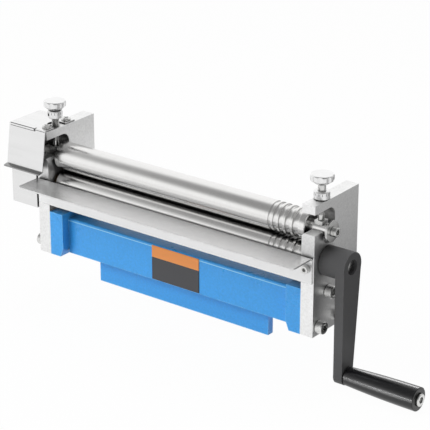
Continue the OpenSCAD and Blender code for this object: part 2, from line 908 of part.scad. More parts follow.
module upper_end_screws() {
  color("gainsboro") at_up() {
    gear_end_screw();
    translate([plate_out + up_journal_out + washer_t, 0, 0])
      rotate([0, 90, 0]) cap_screw(end_screw_d, end_bore_l);
  }
}

// Pressure pads: saddles on the journals that the adjusting screws bear on

module pressure_pad() {
  color("lightgray") at_up() difference() {
    box([plate_mid - pad_l / 2, -pad_w / 2, 0],
        [plate_mid + pad_l / 2, pad_w / 2, up_journal_d / 2 + pad_t]);
    rod_x(plate_mid - pad_l, plate_mid + pad_l, up_journal_d / 2 + run_gap);
    box([plate_mid - pad_l, -pad_w, -over], [plate_mid + pad_l, pad_w, up_journal_d * pad_wrap_share]);
  }
}

module pressure_pad_right() {
  pressure_pad();
}

module pressure_pad_left() {
  to_left() pressure_pad();
}

// Adjusting screw with a plain tip, from the pad up into the knob

function thread_points(z0, count) = [
  for (i = [0:count - 1])
    for (side = [-1, 0, 1])
      [rod_d / 2 - thread_depth * (1 - abs(side)),
       z0 + (i + 1 / 2 + side * (1 - thread_crest_share) / 2) * rod_pitch]
];

module adjusting_screw(knob_low) {
  thread_z = tip_low + tip_l;
  top_z = knob_low + knob_bore_h - seat_gap;
  turns = floor((knob_low - thread_z) / rod_pitch);
  color("lightgray") translate([0, roller_y, 0]) rotate_extrude()
    polygon(concat(
      [[0, tip_low], [tip_d / 2 - tip_chamfer, tip_low], [tip_d / 2, tip_low + tip_chamfer],
       [tip_d / 2, thread_z]],
      thread_points(thread_z, turns),
      [[rod_d / 2, top_z], [0, top_z]]));
}

module adjusting_screw_right() {
  translate([plate_mid, 0, 0]) adjusting_screw(plate_top + knob_lift_right);
}

module adjusting_screw_left() {
  translate([-plate_mid, 0, 0]) adjusting_screw(plate_top + knob_lift_left);
}

// Lobed knob, standing with its underside at zero

module knob() {
  r0 = knob_boss_d / 2;
  r1 = knob_d / 2;
  rim_z = knob_h - knob_crown - knob_rim;
  color("white") difference() {
    rotate_extrude()
      polygon(concat(
        [[0, 0], [r0, 0]],
        [for (p = knob_flare_shares) [r0 + (r1 - r0) * p[0], rim_z * p[1]]],
        [[r1 - knob_edge, rim_z], [r1, rim_z + knob_edge], [r1, knob_h - knob_crown],
         [r1 * knob_top_share, knob_h - knob_edge], [0, knob_h]]));
    for (i = [0:knob_lobes - 1])
      rotate([0, 0, (i + 1 / 2) * 360 / knob_lobes])
        translate([r1 + lobe_r - lobe_depth, 0, -over])
          cylinder(h = knob_h + 2 * over, r = lobe_r);
    translate([0, 0, -over]) cylinder(h = over + knob_bore_h, r = rod_d / 2 + run_gap);
  }
}

module knob_right() {
  translate([plate_mid, roller_y, plate_top + knob_lift_right]) knob();
}

module knob_left() {
  translate([-plate_mid, roller_y, plate_top + knob_lift_left]) knob();
}

// Lock collar with a pin hole

module lock_collar(hole_turn) {
  color("gainsboro") difference() {
    rotate_extrude()
      polygon([[rod_d / 2 + run_gap, 0], [collar_d / 2 - collar_chamfer, 0], [collar_d / 2, collar_chamfer],
               [collar_d / 2, collar_h - collar_chamfer], [collar_d / 2 - collar_chamfer, collar_h],
               [rod_d / 2 + run_gap, collar_h]]);
    rotate([0, 0, hole_turn]) translate([0, 0, collar_h / 2]) rotate([0, 90, 0])
      cylinder(h = collar_d, d = collar_hole_d);
  }
}

module lock_collar_right() {
  translate([plate_mid, roller_y, plate_top + face_gap]) lock_collar(right_hole_turn);
}

module lock_collar_left() {
  translate([-plate_mid, roller_y, plate_top + knob_lift_left - face_gap - collar_h])
    lock_collar(left_hole_turn);
}

// Rear bearing blocks, their grub screws and lock nuts

module rear_block() {
  color("darkgray") difference() {
    box([block_x0, rear_y - block_w / 2, block_low],
        [block_x1, rear_y + block_w / 2, block_low + block_h]);
    at_rear() rod_x(block_x0 - over, block_x1 + over, rear_journal_d / 2 + run_gap);
  }
}

module rear_block_right() {
  rear_block();
}

module rear_block_left() {
  to_left() rear_block();
}

module rear_screw(side) {
  color("dimgray") translate([side * rear_screw_x, rear_y, 0])
    grub_screw(rear_screw_d, plate_foot - rear_screw_out, block_low - seat_gap);
}

module rear_screw_right() {
  rear_screw(1);
}

module rear_screw_left() {
  rear_screw(-1);
}

module rear_nut(side) {
  color("gainsboro") translate([side * rear_screw_x, rear_y, plate_foot - face_gap - rear_nut_h])
    difference() {
      cylinder(h = rear_nut_h, d = rear_nut_flats / cos(30), $fn = 6);
      translate([0, 0, -over]) cylinder(h = rear_nut_h + 2 * over, r = rear_screw_d / 2 + run_gap);
    }
}

module rear_nut_right() {
  rear_nut(1);
}

module rear_nut_left() {
  rear_nut(-1);
}

// Crank: hub and tapered arm in one casting, about the lower roller's axis

module arm_outline() {
  top = hub_r * arm_side_share;
  end = arm_end_r * arm_side_share;
  polygon([[-top, 0], [top, 0], [end, -crank_r], [-end, -crank_r]]);
}

module crank_arm() {
  color("dimgray") at_crank() difference() {
    union() {
      rod_x(hub_x0, hub_x1, hub_r);
      side_sheet(arm_x0, hub_x1) arm_outline();
      translate([0, 0, -crank_r]) rod_x(arm_x0, hub_x1, arm_end_r);
    }
    rod_x(hub_x0 - over, hub_x1 + over, crank_seat_d / 2 + fit_gap);
    rod_x(crank_seat_end, hub_x1 + over, hub_recess_d / 2);
    translate([0, 0, -crank_r]) rod_x(arm_x0 - over, hub_x1 + over, grip_bolt_d / 2 + fit_gap);
    translate([set_screw_x, 0, 0]) rotate([-90, 0, 0]) cylinder(h = hub_d, r = set_screw_d / 2 + fit_gap);
  }
}

module crank_set_screw() {
  seat = crank_seat_d / 2 - seat_flat + fit_gap;
  color("dimgray") at_crank()
    translate([set_screw_x, 0, 0]) rotate([90, 0, 0])
      grub_screw(set_screw_d, -hub_r + set_screw_short, -seat);
}

module grip_bolt() {
  head_x = grip_x1 - grip_counter_h;
  color("gainsboro") at_crank()
    translate([head_x, 0, -crank_r])
      rotate([0, 90, 0]) cap_screw(grip_bolt_d, head_x - arm_x0 - grip_bolt_short);
}

module handle_grip() {
  r0 = grip_small_d / 2;
  r1 = grip_big_d / 2;
  bore = grip_bolt_d / 2 + run_gap;
  color("black") at_crank() translate([0, 0, -crank_r]) difference() {
    turned_x(concat(
      [[bore, grip_x0], [r0 - grip_round, grip_x0], [r0, grip_x0 + grip_round]],
      [for (p = grip_swell_shares) [r0 + (r1 - r0) * p[1], grip_x0 + grip_l * p[0]]],
      [[r1, grip_x1 - grip_round], [r1 - grip_round, grip_x1], [bore, grip_x1]]));
    rod_x(grip_x1 - grip_counter_h - run_gap, grip_x1 + over, grip_counter_d / 2);
  }
}

base_casting();
end_plate_left();
end_plate_right();
plate_bolts_left();
plate_bolts_right();
feed_shelf();
feed_shelf_screws();
gear_cover();
gear_cover_screws();
gear_box();
gear_box_screws();
info_plate();
lower_bush_left();
lower_bush_right();
lower_roller();
lower_gear();
lower_gear_key();
lower_gear_washer();
lower_gear_screw();
crank_arm();
crank_set_screw();
grip_bolt();
handle_grip();
pressure_pad_left();
pressure_pad_right();
upper_roller();
upper_gear();
upper_gear_key();
upper_washers();
upper_end_screws();
adjusting_screw_left();
adjusting_screw_right();
knob_left();
knob_right();
lock_collar_left();
lock_collar_right();
rear_roller();
rear_block_left();
rear_block_right();
rear_screw_left();
rear_screw_right();
rear_nut_left();
rear_nut_right();
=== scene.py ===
"""Bench-vise slip roll: surfaces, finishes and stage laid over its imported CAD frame.

Lengths are metres in the CAD's own frame: +Z up, +X towards the crank, and the
origin in the middle of the front face of the tongue that the vise grips.
"""

import json
import math

import bmesh
import bpy
import numpy as np
from bpy.props import FloatProperty, FloatVectorProperty, IntProperty, PointerProperty
from mathutils import Euler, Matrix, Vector


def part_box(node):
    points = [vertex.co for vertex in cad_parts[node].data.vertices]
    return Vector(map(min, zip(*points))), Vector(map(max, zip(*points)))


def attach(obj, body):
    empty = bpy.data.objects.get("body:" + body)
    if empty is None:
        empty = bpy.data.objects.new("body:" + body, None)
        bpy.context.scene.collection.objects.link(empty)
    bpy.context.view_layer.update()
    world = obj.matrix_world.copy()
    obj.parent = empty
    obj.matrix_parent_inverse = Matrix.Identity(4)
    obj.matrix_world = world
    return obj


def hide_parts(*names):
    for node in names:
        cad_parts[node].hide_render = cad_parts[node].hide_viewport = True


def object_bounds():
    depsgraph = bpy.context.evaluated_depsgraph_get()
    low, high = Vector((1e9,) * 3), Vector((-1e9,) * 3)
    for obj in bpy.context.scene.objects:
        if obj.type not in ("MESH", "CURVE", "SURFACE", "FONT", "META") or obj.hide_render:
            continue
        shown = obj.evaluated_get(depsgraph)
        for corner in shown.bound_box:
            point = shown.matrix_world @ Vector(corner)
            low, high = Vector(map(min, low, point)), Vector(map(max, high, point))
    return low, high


bl_info = {
    "name": "Slip Roll",
    "version": (1, 0, 0),
    "blender": (4, 5, 0),
    "location": "3D View > Sidebar > Slip Roll",
    "description": "Dresses the packed slip roll with detailed surfaces, finishes and a stage",
    "category": "Object",
}

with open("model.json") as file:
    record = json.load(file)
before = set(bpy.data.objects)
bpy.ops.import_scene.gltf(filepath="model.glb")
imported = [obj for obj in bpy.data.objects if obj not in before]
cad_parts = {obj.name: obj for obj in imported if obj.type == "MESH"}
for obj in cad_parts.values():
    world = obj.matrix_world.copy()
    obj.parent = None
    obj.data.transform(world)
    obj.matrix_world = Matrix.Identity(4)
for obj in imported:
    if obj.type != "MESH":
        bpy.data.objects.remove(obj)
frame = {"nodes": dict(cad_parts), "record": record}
CAD_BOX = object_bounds()
RECORD = frame["record"]
BODY_OF = {node: body for body, nodes in RECORD["behaviour"]["bodies"].items() for node in nodes}
SLOT_OF = {part["node"]: part["material_slot"] for part in RECORD["subparts"]}
HINGES = {joint["name"]: joint.get("pos_m") for joint in RECORD["behaviour"]["joints"]}

X, Y, Z = Vector((1, 0, 0)), Vector((0, 1, 0)), Vector((0, 0, 1))


def reach(node, axis, end):
    """How far a CAD node reaches along an axis (0 to 2), at its low end (0) or its high one (1), to a
    thousandth of a millimetre."""
    return round(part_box(node)[end][axis], 6)


# Roller axes, read from the joints
ROLLER_Y, LOW_Z = HINGES["crank_turn"][1:]
UP_Z = HINGES["upper_roller_turn"][2]
LOW_AXIS = (0, ROLLER_Y, LOW_Z)
UP_AXIS = (0, ROLLER_Y, UP_Z)
REAR_AXIS = (0, *HINGES["rear_roller_turn"][1:])
CRANK_R, CRANK_LEAN = 0.115, math.radians(2.0)

# Faces of the plates, the beam and the sheet work, read from the nodes' boxes
SHEET_T, LIP_WIDTH, INFO_EDGE, BAND_WIDTH, SLACK = 0.0015, 0.0055, 0.001, 0.0129, 0.0001
PLATE_IN, PLATE_OUT = reach("end_plate_right", 0, 0), reach("end_plate_right", 0, 1)
PLATE_MID = (PLATE_IN + PLATE_OUT) / 2
SHEET_FACE = reach("end_plate_right", 1, 0) - SHEET_T
BEAM_FRONT = reach("info_plate", 1, 1)
BEAM_HIGH = reach("info_plate", 2, 1) + INFO_EDGE
BAND_FOOT = reach("info_plate", 2, 1) - BAND_WIDTH
COVER_TOP = reach("gear_cover", 2, 1)
COVER_LOW_EDGE = reach("gear_cover", 2, 0) + SHEET_T + SLACK
COVER_LEAN_Y = reach("gear_cover", 1, 0) + LIP_WIDTH
COVER_SLOPE = (SHEET_FACE - COVER_LEAN_Y) / (COVER_TOP - COVER_LOW_EDGE)
HEM_ENDS = (reach("gear_cover", 0, 0) + 0.002, -PLATE_OUT - 0.002)

# Shafts and what sits on their ends
ROLLER_R, LOW_JOURNAL, UP_JOURNAL, REAR_JOURNAL = 0.015, 0.008, 0.007, 0.006
GEAR_SEAT, CRANK_SEAT = 0.006, 0.007
GEAR_OUT, GEAR_IN = reach("lower_gear", 0, 0), reach("lower_gear", 0, 1)
WASHER_OUT, UP_WASHER_OUT = reach("lower_gear_washer", 0, 0), reach("upper_washers", 0, 1)
UP_END = reach("upper_roller", 0, 1)

# Screws: thread sizes, the radial gap round what turns, shank lengths, and places (Y, Z) in a plate
M5, M6, M8 = 0.005, 0.006, 0.008
RUN_GAP = 0.00005
LEFT_SHANK, RIGHT_SHANK = 0.0137, 0.014
PLATE_BOLTS = ((-0.011, 0.0205), (0.0045, 0.0534), (0.024, 0.021))

# Meshes: the distance within which points are one, and the angles of crisp, rounded and flat edges
MERGED = 1e-6
CRISP, ROUNDED, FLAT = math.radians(35), math.radians(30), math.radians(1)


class SlipRollSizes(bpy.types.PropertyGroup):
    """Sizes that give the surfaces their detail"""

    cast_round: FloatProperty(name="Casting edge",
                              description="Rounding of the cast beam's edges apart from the top front one",
                              default=0.0011, min=0, unit="LENGTH")
    front_round: FloatProperty(name="Beam front edge",
                               description="Wide rounding of the beam's top front edge",
                               default=0.0024, min=0, unit="LENGTH")
    plate_round: FloatProperty(name="Plate edge",
                               description="Broken edge of the end plates and the rear blocks",
                               default=0.0004, min=0, unit="LENGTH")
    sheet_round: FloatProperty(name="Sheet edge", description="Rounding of the sheet steel's edges",
                               default=0.0003, min=0, unit="LENGTH")
    arm_round: FloatProperty(name="Crank edge", description="Rounding of the crank casting's edges",
                             default=0.0012, min=0, unit="LENGTH")
    small_round: FloatProperty(name="Small edge",
                               description="Broken edge of gears, keys, collars, nuts and small screws",
                               default=0.0002, min=0, unit="LENGTH")
    roller_chamfer: FloatProperty(name="Roller chamfer", description="Chamfer on a roller's ends",
                                  default=0.0008, min=0, unit="LENGTH")
    groove_count: IntProperty(name="Wire grooves", description="Number of wire grooves in a roller",
                              default=5, min=1, max=6)
    groove_min: FloatProperty(name="Smallest groove", description="Width of the smallest wire groove",
                              default=0.003, min=0, unit="LENGTH")
    groove_step: FloatProperty(name="Groove step", description="Growth from one groove to the next",
                               default=0.001, min=0, unit="LENGTH")
    groove_land: FloatProperty(name="Groove land", description="Land between two grooves",
                               default=0.0027, min=0, unit="LENGTH")
    groove_end: FloatProperty(name="End land", description="Land between the last groove and the end",
                              default=0.0072, min=0, unit="LENGTH")
    groove_share: FloatProperty(name="Groove depth", description="Depth of a groove as a share of its width",
                                default=0.34, min=0.1, max=0.5)
    thread_pitch: FloatProperty(name="Thread pitch", description="Pitch of the adjusting screws",
                                default=0.00125, min=0.0005, unit="LENGTH")
    thread_depth: FloatProperty(name="Thread depth", description="Depth of the thread",
                                default=0.00055, min=0, unit="LENGTH")
    knob_lobes: IntProperty(name="Knob lobes", description="Number of lobes round a knob",
                            default=8, min=3, max=16)
    lobe_depth: FloatProperty(name="Lobe depth", description="Depth of the hollows between the lobes",
                              default=0.0009, min=0, unit="LENGTH")
    knurl_count: IntProperty(name="Knurls", description="Number of knurls round a cap screw's head",
                             default=36, min=6, max=60)


class SlipRollColours(bpy.types.PropertyGroup):
    """Colours of the finishes"""

    paint: FloatVectorProperty(name="Casting paint", description="Enamel of the cast beam",
                               default=(0.045, 0.385, 0.91), subtype="COLOR", min=0, max=1)
    plate: FloatVectorProperty(name="Plate steel", description="Milled steel of the end plates",
                               default=(1.0, 1.0, 0.995), subtype="COLOR", min=0, max=1)
    ground: FloatVectorProperty(name="Ground steel", description="Steel of the rollers",
                                default=(0.80, 0.795, 0.785), subtype="COLOR", min=0, max=1)
    sheet: FloatVectorProperty(name="Sheet steel", description="Steel of the gear cover and the gear box",
                               default=(0.80, 0.80, 0.80), subtype="COLOR", min=0, max=1)
    shelf: FloatVectorProperty(name="Shelf steel", description="Brushed stainless steel of the feed shelf",
                               default=(0.86, 0.86, 0.86), subtype="COLOR", min=0, max=1)
    chrome: FloatVectorProperty(name="Knob chrome", description="Satin chrome of the knobs",
                                default=(0.88, 0.88, 0.88), subtype="COLOR", min=0, max=1)
    crank: FloatVectorProperty(name="Crank coat", description="Powder coat of the crank casting",
                               default=(0.079, 0.079, 0.081), subtype="COLOR", min=0, max=1)
    grip: FloatVectorProperty(name="Grip plastic", description="Plastic of the grip",
                              default=(0.006, 0.006, 0.007), subtype="COLOR", min=0, max=1)
    band: FloatVectorProperty(name="Info band", description="Upper band of the bare info plate",
                              default=(0.96, 0.34, 0.08), subtype="COLOR", min=0, max=1)
    field: FloatVectorProperty(name="Info field", description="Lower field of the bare info plate",
                               default=(0.055, 0.055, 0.060), subtype="COLOR", min=0, max=1)


class SlipRollStage(bpy.types.PropertyGroup):
    """Camera, lamps and floor"""

    camera_place: FloatVectorProperty(name="Camera", description="Place of the camera",
                                      default=(1.09722, -1.39581, 0.82838), subtype="TRANSLATION")
    camera_target: FloatVectorProperty(name="Target", description="Point in the middle of the view",
                                       default=(0.03228, 0.01447, 0.09341), subtype="TRANSLATION")
    camera_roll: FloatProperty(name="Roll", description="Turn of the camera about its own axis",
                               default=math.radians(0.04), subtype="ANGLE")
    lens: FloatProperty(name="Lens", description="Focal length on a 36 mm sensor",
                        default=157.79, min=1, unit="CAMERA")
    key_power: FloatProperty(name="Key lamp", description="Power of the soft lamp at the front left",
                             default=32.0, min=0, unit="POWER")
    top_power: FloatProperty(name="Top lamp", description="Power of the soft lamp above",
                             default=16.0, min=0, unit="POWER")
    grip_power: FloatProperty(name="Grip lamps",
                              description="Power of the small lamps that light the grip's gloss",
                              default=1.9, min=0, unit="POWER")
    sky: FloatProperty(name="Room light", description="Strength of the even light all round",
                       default=0.5, min=0)
    floor_shade: FloatProperty(name="Floor shade",
                               description="How dark metal shows the floor at the back right",
                               default=0.95, min=0.45, max=1)
    floor_colour: FloatVectorProperty(name="Floor", description="Colour of the floor",
                                      default=(0.82, 0.82, 0.82), subtype="COLOR", min=0, max=1)


# Surfaces

def grid_faces(rows, columns, closed_rows=False):
    """Quads between neighbouring rows of a grid whose last column meets the first, and, where
    closed_rows is set, whose last row meets the first as well."""
    i = np.arange(rows if closed_rows else rows - 1)[:, None]
    j = np.arange(columns)[None, :]
    i1, j1 = (i + 1) % rows, (j + 1) % columns
    quads = np.stack([i * columns + j, i * columns + j1, i1 * columns + j1, i1 * columns + j], axis=-1)
    return quads.reshape(-1, 4)


def rounded(points, radius, steps=4):
    """A polyline with its inner corners rounded: each corner P becomes the quadratic curve from
    P + e a to P + e b, where a and b point to its neighbours and e is the radius, or half the way
    to the nearer neighbour. The curve at t is (1-t)^2 (P+ea) + 2t(1-t) P + t^2 (P+eb)."""
    p = np.asarray(points, float)
    radius = np.broadcast_to(np.asarray(radius, float), (len(p) - 2,))
    before, corner, after = p[:-2], p[1:-1], p[2:]
    a, b = before - corner, after - corner
    la, lb = np.linalg.norm(a, axis=1), np.linalg.norm(b, axis=1)
    e = np.minimum(radius, 0.499 * np.minimum(la, lb))[:, None]
    start, end = corner + a / la[:, None] * e, corner + b / lb[:, None] * e
    t = np.linspace(0, 1, steps + 1)[None, :, None]
    curve = (1 - t) ** 2 * start[:, None] + 2 * t * (1 - t) * corner[:, None] + t ** 2 * end[:, None]
    return np.vstack([p[:1], curve.reshape(-1, 2), p[-1:]])


def turned(centre, axis, profile, sides=96, closed=False, radius_at=None, trim=None):
    """A turned surface: the point at place s along the axis, radius r and angle A is
    centre + s axis + r (u cos A + v sin A). radius_at(s, A, r) may change the radius over the
    grid, and trim(points) may cut flats into the points. Returns (points, quads)."""
    axis = Vector(axis).normalized()
    u = Z if abs(axis.z) < 0.9 else X
    u = (u - axis * u.dot(axis)).normalized()
    v = axis.cross(u)
    profile = np.asarray(profile, float)
    place, radius = profile[:, :1], profile[:, 1:2]
    angle = np.arange(sides)[None, :] * 2 * np.pi / sides
    radius = np.repeat(radius, sides, axis=1)
    if radius_at is not None:
        radius = radius_at(place, angle, radius)
    points = (np.array(centre, float) + place[..., None] * np.array(axis)
              + (radius * np.cos(angle))[..., None] * np.array(u)
              + (radius * np.sin(angle))[..., None] * np.array(v))
    if trim is not None:
        points = trim(points)
    return points.reshape(-1, 3), grid_faces(len(profile), sides, closed)


def piece(name, parts):
    """One object from (points, quads) parts: the arrays are joined, seams and poles are merged,
    normals turned outwards, and edges steeper than the crisp angle kept sharp."""
    starts = np.cumsum([0] + [len(points) for points, _ in parts[:-1]])
    points = np.concatenate([points for points, _ in parts])
    faces = np.concatenate([quads + start for (_, quads), start in zip(parts, starts)])
    mesh = bpy.data.meshes.new(name)
    mesh.from_pydata(points.tolist(), [], faces.tolist())
    work = bmesh.new()
    work.from_mesh(mesh)
    bmesh.ops.remove_doubles(work, verts=work.verts, dist=MERGED)
    bmesh.ops.dissolve_degenerate(work, edges=work.edges, dist=MERGED / 10)
    bmesh.ops.recalc_face_normals(work, faces=work.faces)
    work.to_mesh(mesh)
    work.free()
    mesh.shade_smooth()
    mesh.set_sharp_from_angle(angle=CRISP)
    obj = bpy.data.objects.new(name, mesh)
    bpy.context.scene.collection.objects.link(obj)
    return obj


def softened(node, width, segments):
    """A copy of a CAD node with its loose triangles joined and its flat faces made whole, whose
    edges steeper than 30 degrees are rounded by a live Bevel of this width."""
    work = bmesh.new()
    work.from_mesh(frame["nodes"][node].data)
    bmesh.ops.remove_doubles(work, verts=work.verts, dist=MERGED)
    bmesh.ops.dissolve_limit(work, angle_limit=FLAT, verts=work.verts, edges=work.edges)
    mesh = bpy.data.meshes.new(node + "_soft")
    work.to_mesh(mesh)
    work.free()
    mesh.shade_smooth()
    obj = bpy.data.objects.new(node + "_soft", mesh)
    bpy.context.scene.collection.objects.link(obj)
    bevel = obj.modifiers.new("Rounded edges", "BEVEL")
    bevel.width = width
    bevel.segments = segments
    bevel.limit_method = "ANGLE"
    bevel.angle_limit = ROUNDED
    bevel.miter_outer = "MITER_ARC"
    bevel.use_clamp_overlap = True
    normals = obj.modifiers.new("Even shading", "WEIGHTED_NORMAL")
    normals.keep_sharp = True
    return obj


def dress(obj, body, slot):
    """The piece rides on a body and has a slot's finish and no other."""
    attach(obj, body)
    obj.data.materials.clear()
    obj.data.materials.append(finish_of(slot))


def stand_for(obj, *nodes):
    """The piece stands for these CAD nodes: it rides on their body and takes their slot's finish."""
    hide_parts(*nodes)
    dress(obj, BODY_OF[nodes[0]], SLOT_OF[nodes[0]])


def soften(width, segments, *nodes):
    """Each of these CAD nodes gets a softened copy that stands for it."""
    for node in nodes:
        stand_for(softened(node, width, segments), node)


def hexagon(angle, apothem):
    """Radius of a hexagon at an angle: the apothem over the cosine of the angle from the nearest
    face's middle."""
    return apothem / np.cos((angle + np.pi / 6) % (np.pi / 3) - np.pi / 6)


def cap_screw(centre, axis, d, shank, knurls):
    """A cap screw whose head stands on the centre along the axis, with sizes that are shares of its
    thread's diameter d. Each ring has a place, a radius r, a share of knurling and a share of
    hexagon, and the radius becomes r (1 - hex) + hexagon hex - knurl depth |tooth wave|."""
    head, high, rim = 0.815 * d, d, 0.1 * d
    socket, deep = 0.3767 * d, 0.55 * d
    rings = np.array([
        (-shank, 0, 0, 0), (-shank, d / 2 - rim, 0, 0), (-shank + rim, d / 2, 0, 0), (0, d / 2, 0, 0),
        (0, head - 0.04 * d, 0, 0), (0.03 * d, head - 0.01 * d, 0, 0), (0.08 * d, head, 0, 0),
        (0.12 * d, head, 1, 0), (high * 0.8, head, 1, 0), (high * 0.84, head, 0, 0),
        (high - rim, head, 0, 0), (high - 0.6 * rim, head - 0.1 * rim, 0, 0),
        (high - 0.25 * rim, head - 0.35 * rim, 0, 0), (high - 0.06 * rim, head - 0.7 * rim, 0, 0),
        (high, head - 1.1 * rim, 0, 0), (high, socket * 1.24, 0, 0),
        (high - 0.03 * d, socket * 1.02, 0, 1), (high - deep, socket, 0, 1),
        (high - deep - 0.08 * d, 0, 0, 0)])
    knurl, hexed = rings[:, 2:3], rings[:, 3:4]

    def radius_at(place, angle, radius):
        wave = np.abs((angle * knurls / (2 * np.pi)) % 1 * 2 - 1)
        return radius * (1 - hexed) + hexagon(angle, radius) * hexed - knurl * 0.02 * d * wave

    return turned(centre, axis, rings[:, :2], sides=knurls * 4, radius_at=radius_at)


def threaded(centre, axis, stretches, pitch, depth):
    """A turned rod given as stretches (start, end, radius, threaded). Over a threaded stretch the
    radius falls by depth times a rounded saw of place / pitch - angle / full turn, which winds the
    groove into a helix that fades out at both ends. The rod's ends are closed."""
    rows = [(stretches[0][0], 0.0, 0.0)]
    for start, end, radius, cut in stretches:
        count = max(2, int(abs(end - start) / pitch * 10)) if cut else 2
        place = np.linspace(start, end, count)
        fade = 0 * place
        if cut:
            fade = np.clip(np.minimum(place - place[0], place[-1] - place) / (0.6 * pitch), 0, 1)
        rows += list(zip(place, np.full(count, radius), fade))
    rows = np.array(rows + [(stretches[-1][1], 0.0, 0.0)])
    fade = rows[:, 2:3]

    def radius_at(place, angle, radius):
        wave = 0.5 - 0.5 * np.cos(2 * np.pi * place / pitch - angle)
        return radius - depth * fade * np.clip(1.35 * wave - 0.2, 0, 1)

    return turned(centre, axis, rows[:, :2], sides=40, radius_at=radius_at)


def roller_profile(sizes, half, journal):
    """Roller body from its left end to its right one as (place, radius): chamfered ends, and wire
    grooves of width w at place x, whose half ellipses are squared: x - w/2 sign(cos A) root |cos A|
    and roller radius - depth share w root sin A."""
    widths = sizes.groove_min + sizes.groove_step * np.arange(sizes.groove_count)
    gaps = (widths[:-1] + widths[1:]) / 2 + sizes.groove_land
    last = half - sizes.groove_end - widths[-1] / 2
    places = last - np.append(np.cumsum(gaps[::-1])[::-1], 0)
    turn = np.linspace(0, np.pi, 25)[None, :]
    across = places[:, None] - widths[:, None] / 2 * np.sign(np.cos(turn)) * np.sqrt(np.abs(np.cos(turn)))
    deep = ROLLER_R - sizes.groove_share * widths[:, None] * np.sqrt(np.abs(np.sin(turn)).round(9))
    grooves = np.stack([across.ravel(), deep.ravel()], axis=1)
    c = sizes.roller_chamfer
    left = rounded([(-half, journal), (-half, ROLLER_R - c), (-half + c, ROLLER_R), (0, ROLLER_R)], c / 3)
    right = rounded([(0, ROLLER_R), (half - c, ROLLER_R), (half, ROLLER_R - c), (half, journal)], c / 3)
    return np.vstack([left[:-1], grooves, right[1:]])


def seat_end(x_end, seat_r, bore_deep, side):
    """Shaft end bored for its screw, from the bore's floor out to the seat, as (place, radius). The
    side is 1 for a left end, whose bore runs towards +X, and -1 for a right one."""
    floor, bore_r, sink, rim = x_end + side * bore_deep, M6 / 2, 0.0004, 0.0005
    return np.array([(floor, 0), (floor, bore_r), (x_end + side * sink, bore_r), (x_end, bore_r + sink),
                     (x_end, seat_r - rim), (x_end + side * rim, seat_r)])


def washer(axis, way, start, end, outer):
    """A flat ring on a roller's axis, with its outer edges rounded."""
    hole, edge = 0.0033, 0.0003
    body = rounded([(start, hole), (start, outer), (end, outer), (end, hole)], edge, 3)
    return turned(axis, way, body, sides=72, closed=True)


# Shader nodes

def put(tree, kind, inputs=None, **settings):
    """A shader node with its settings, whose inputs take a value or another node's output."""
    node = tree.nodes.new(kind)
    for name, value in settings.items():
        setattr(node, name, value)
    for name, value in (inputs or {}).items():
        if isinstance(value, bpy.types.NodeSocket):
            tree.links.new(value, node.inputs[name])
        else:
            node.inputs[name].default_value = value
    return node


def maths(tree, operation, *values, clamp=False):
    """The result of one Math node."""
    node = put(tree, "ShaderNodeMath", dict(enumerate(values)), operation=operation, use_clamp=clamp)
    return node.outputs[0]


def ranged(tree, value, start, end, low=0.0, high=1.0, kind="LINEAR"):
    """A value carried over from the range between start and end to the one between low and high,
    and held inside it."""
    node = put(tree, "ShaderNodeMapRange", {"Value": value, "From Min": start, "From Max": end,
                                            "To Min": low, "To Max": high}, interpolation_type=kind)
    return node.outputs["Result"]


def noise(tree, coordinates, scale, detail, roughness=0.5):
    """The value of a noise texture at these coordinates."""
    node = put(tree, "ShaderNodeTexNoise", {"Vector": coordinates, "Scale": scale, "Detail": detail,
                                            "Roughness": roughness})
    return node.outputs["Fac"]


def mixed(tree, share, first, second):
    """A colour mixed between two by a mask. As a mixer of colours, the node takes its share in socket
    0 and its colours in sockets 6 and 7, and gives the mixed one in socket 2."""
    node = tree.nodes.new("ShaderNodeMix")
    node.data_type = "RGBA"
    for socket, value in ((node.inputs[0], share), (node.inputs[6], first), (node.inputs[7], second)):
        if isinstance(value, bpy.types.NodeSocket):
            tree.links.new(value, socket)
        else:
            socket.default_value = value
    return node.outputs[2]


# Shader groups

def wire_grain(tree, given, out):
    """Tool marks: one fine noise stretched by a vector for height, and a broader one for tone."""
    broader = (0.13, 0.13, 0.13)
    stretched = put(tree, "ShaderNodeVectorMath", {0: given["Coordinates"], 1: given["Stretch"]},
                    operation="MULTIPLY").outputs[0]
    height = noise(tree, stretched, given["Fineness"], 3.0, 0.65)
    broad = put(tree, "ShaderNodeVectorMath", {0: stretched, 1: broader}, operation="MULTIPLY").outputs[0]
    tree.links.new(height, out["Height"])
    tree.links.new(noise(tree, broad, given["Fineness"], 2.0), out["Tone"])


def wire_patches(tree, given, out):
    """Soft patches: a slow noise brought between a low and a high value."""
    slow = noise(tree, given["Coordinates"], given["Scale"], 4.0, 0.55)
    tree.links.new(ranged(tree, slow, 0.3, 0.7, given["Low"], given["High"]), out["Value"])


def wire_edges(tree, given, out):
    """Edge wear and painted light: one minus the dot product of the bevelled and the plain normal, made
    stronger and broken up by a noise. Materials make these edges lighter as wear, darker as painted shade."""
    soft = put(tree, "ShaderNodeBevel", {"Radius": given["Radius"]}, samples=4).outputs[0]
    plain = put(tree, "ShaderNodeNewGeometry").outputs["Normal"]
    dot = put(tree, "ShaderNodeVectorMath", {0: soft, 1: plain}, operation="DOT_PRODUCT").outputs["Value"]
    strong = maths(tree, "MULTIPLY", maths(tree, "SUBTRACT", 1.0, dot), given["Strength"])
    broken = ranged(tree, noise(tree, given["Coordinates"], 160.0, 3.0), 0.35, 0.6)
    tree.links.new(maths(tree, "MULTIPLY", strong, broken, clamp=True), out["Mask"])


def wire_crevice_shade(tree, given, out):
    """Painted crevice shade: one minus the open share of the sky within a short distance, past a threshold,
    which darkens crevices where shade falls.
    """
    sky = put(tree, "ShaderNodeAmbientOcclusion", {"Distance": given["Distance"]}, samples=16)
    tree.links.new(ranged(tree, sky.outputs["AO"], given["Shut"], given["Open"], 1.0, 0.0), out["Mask"])


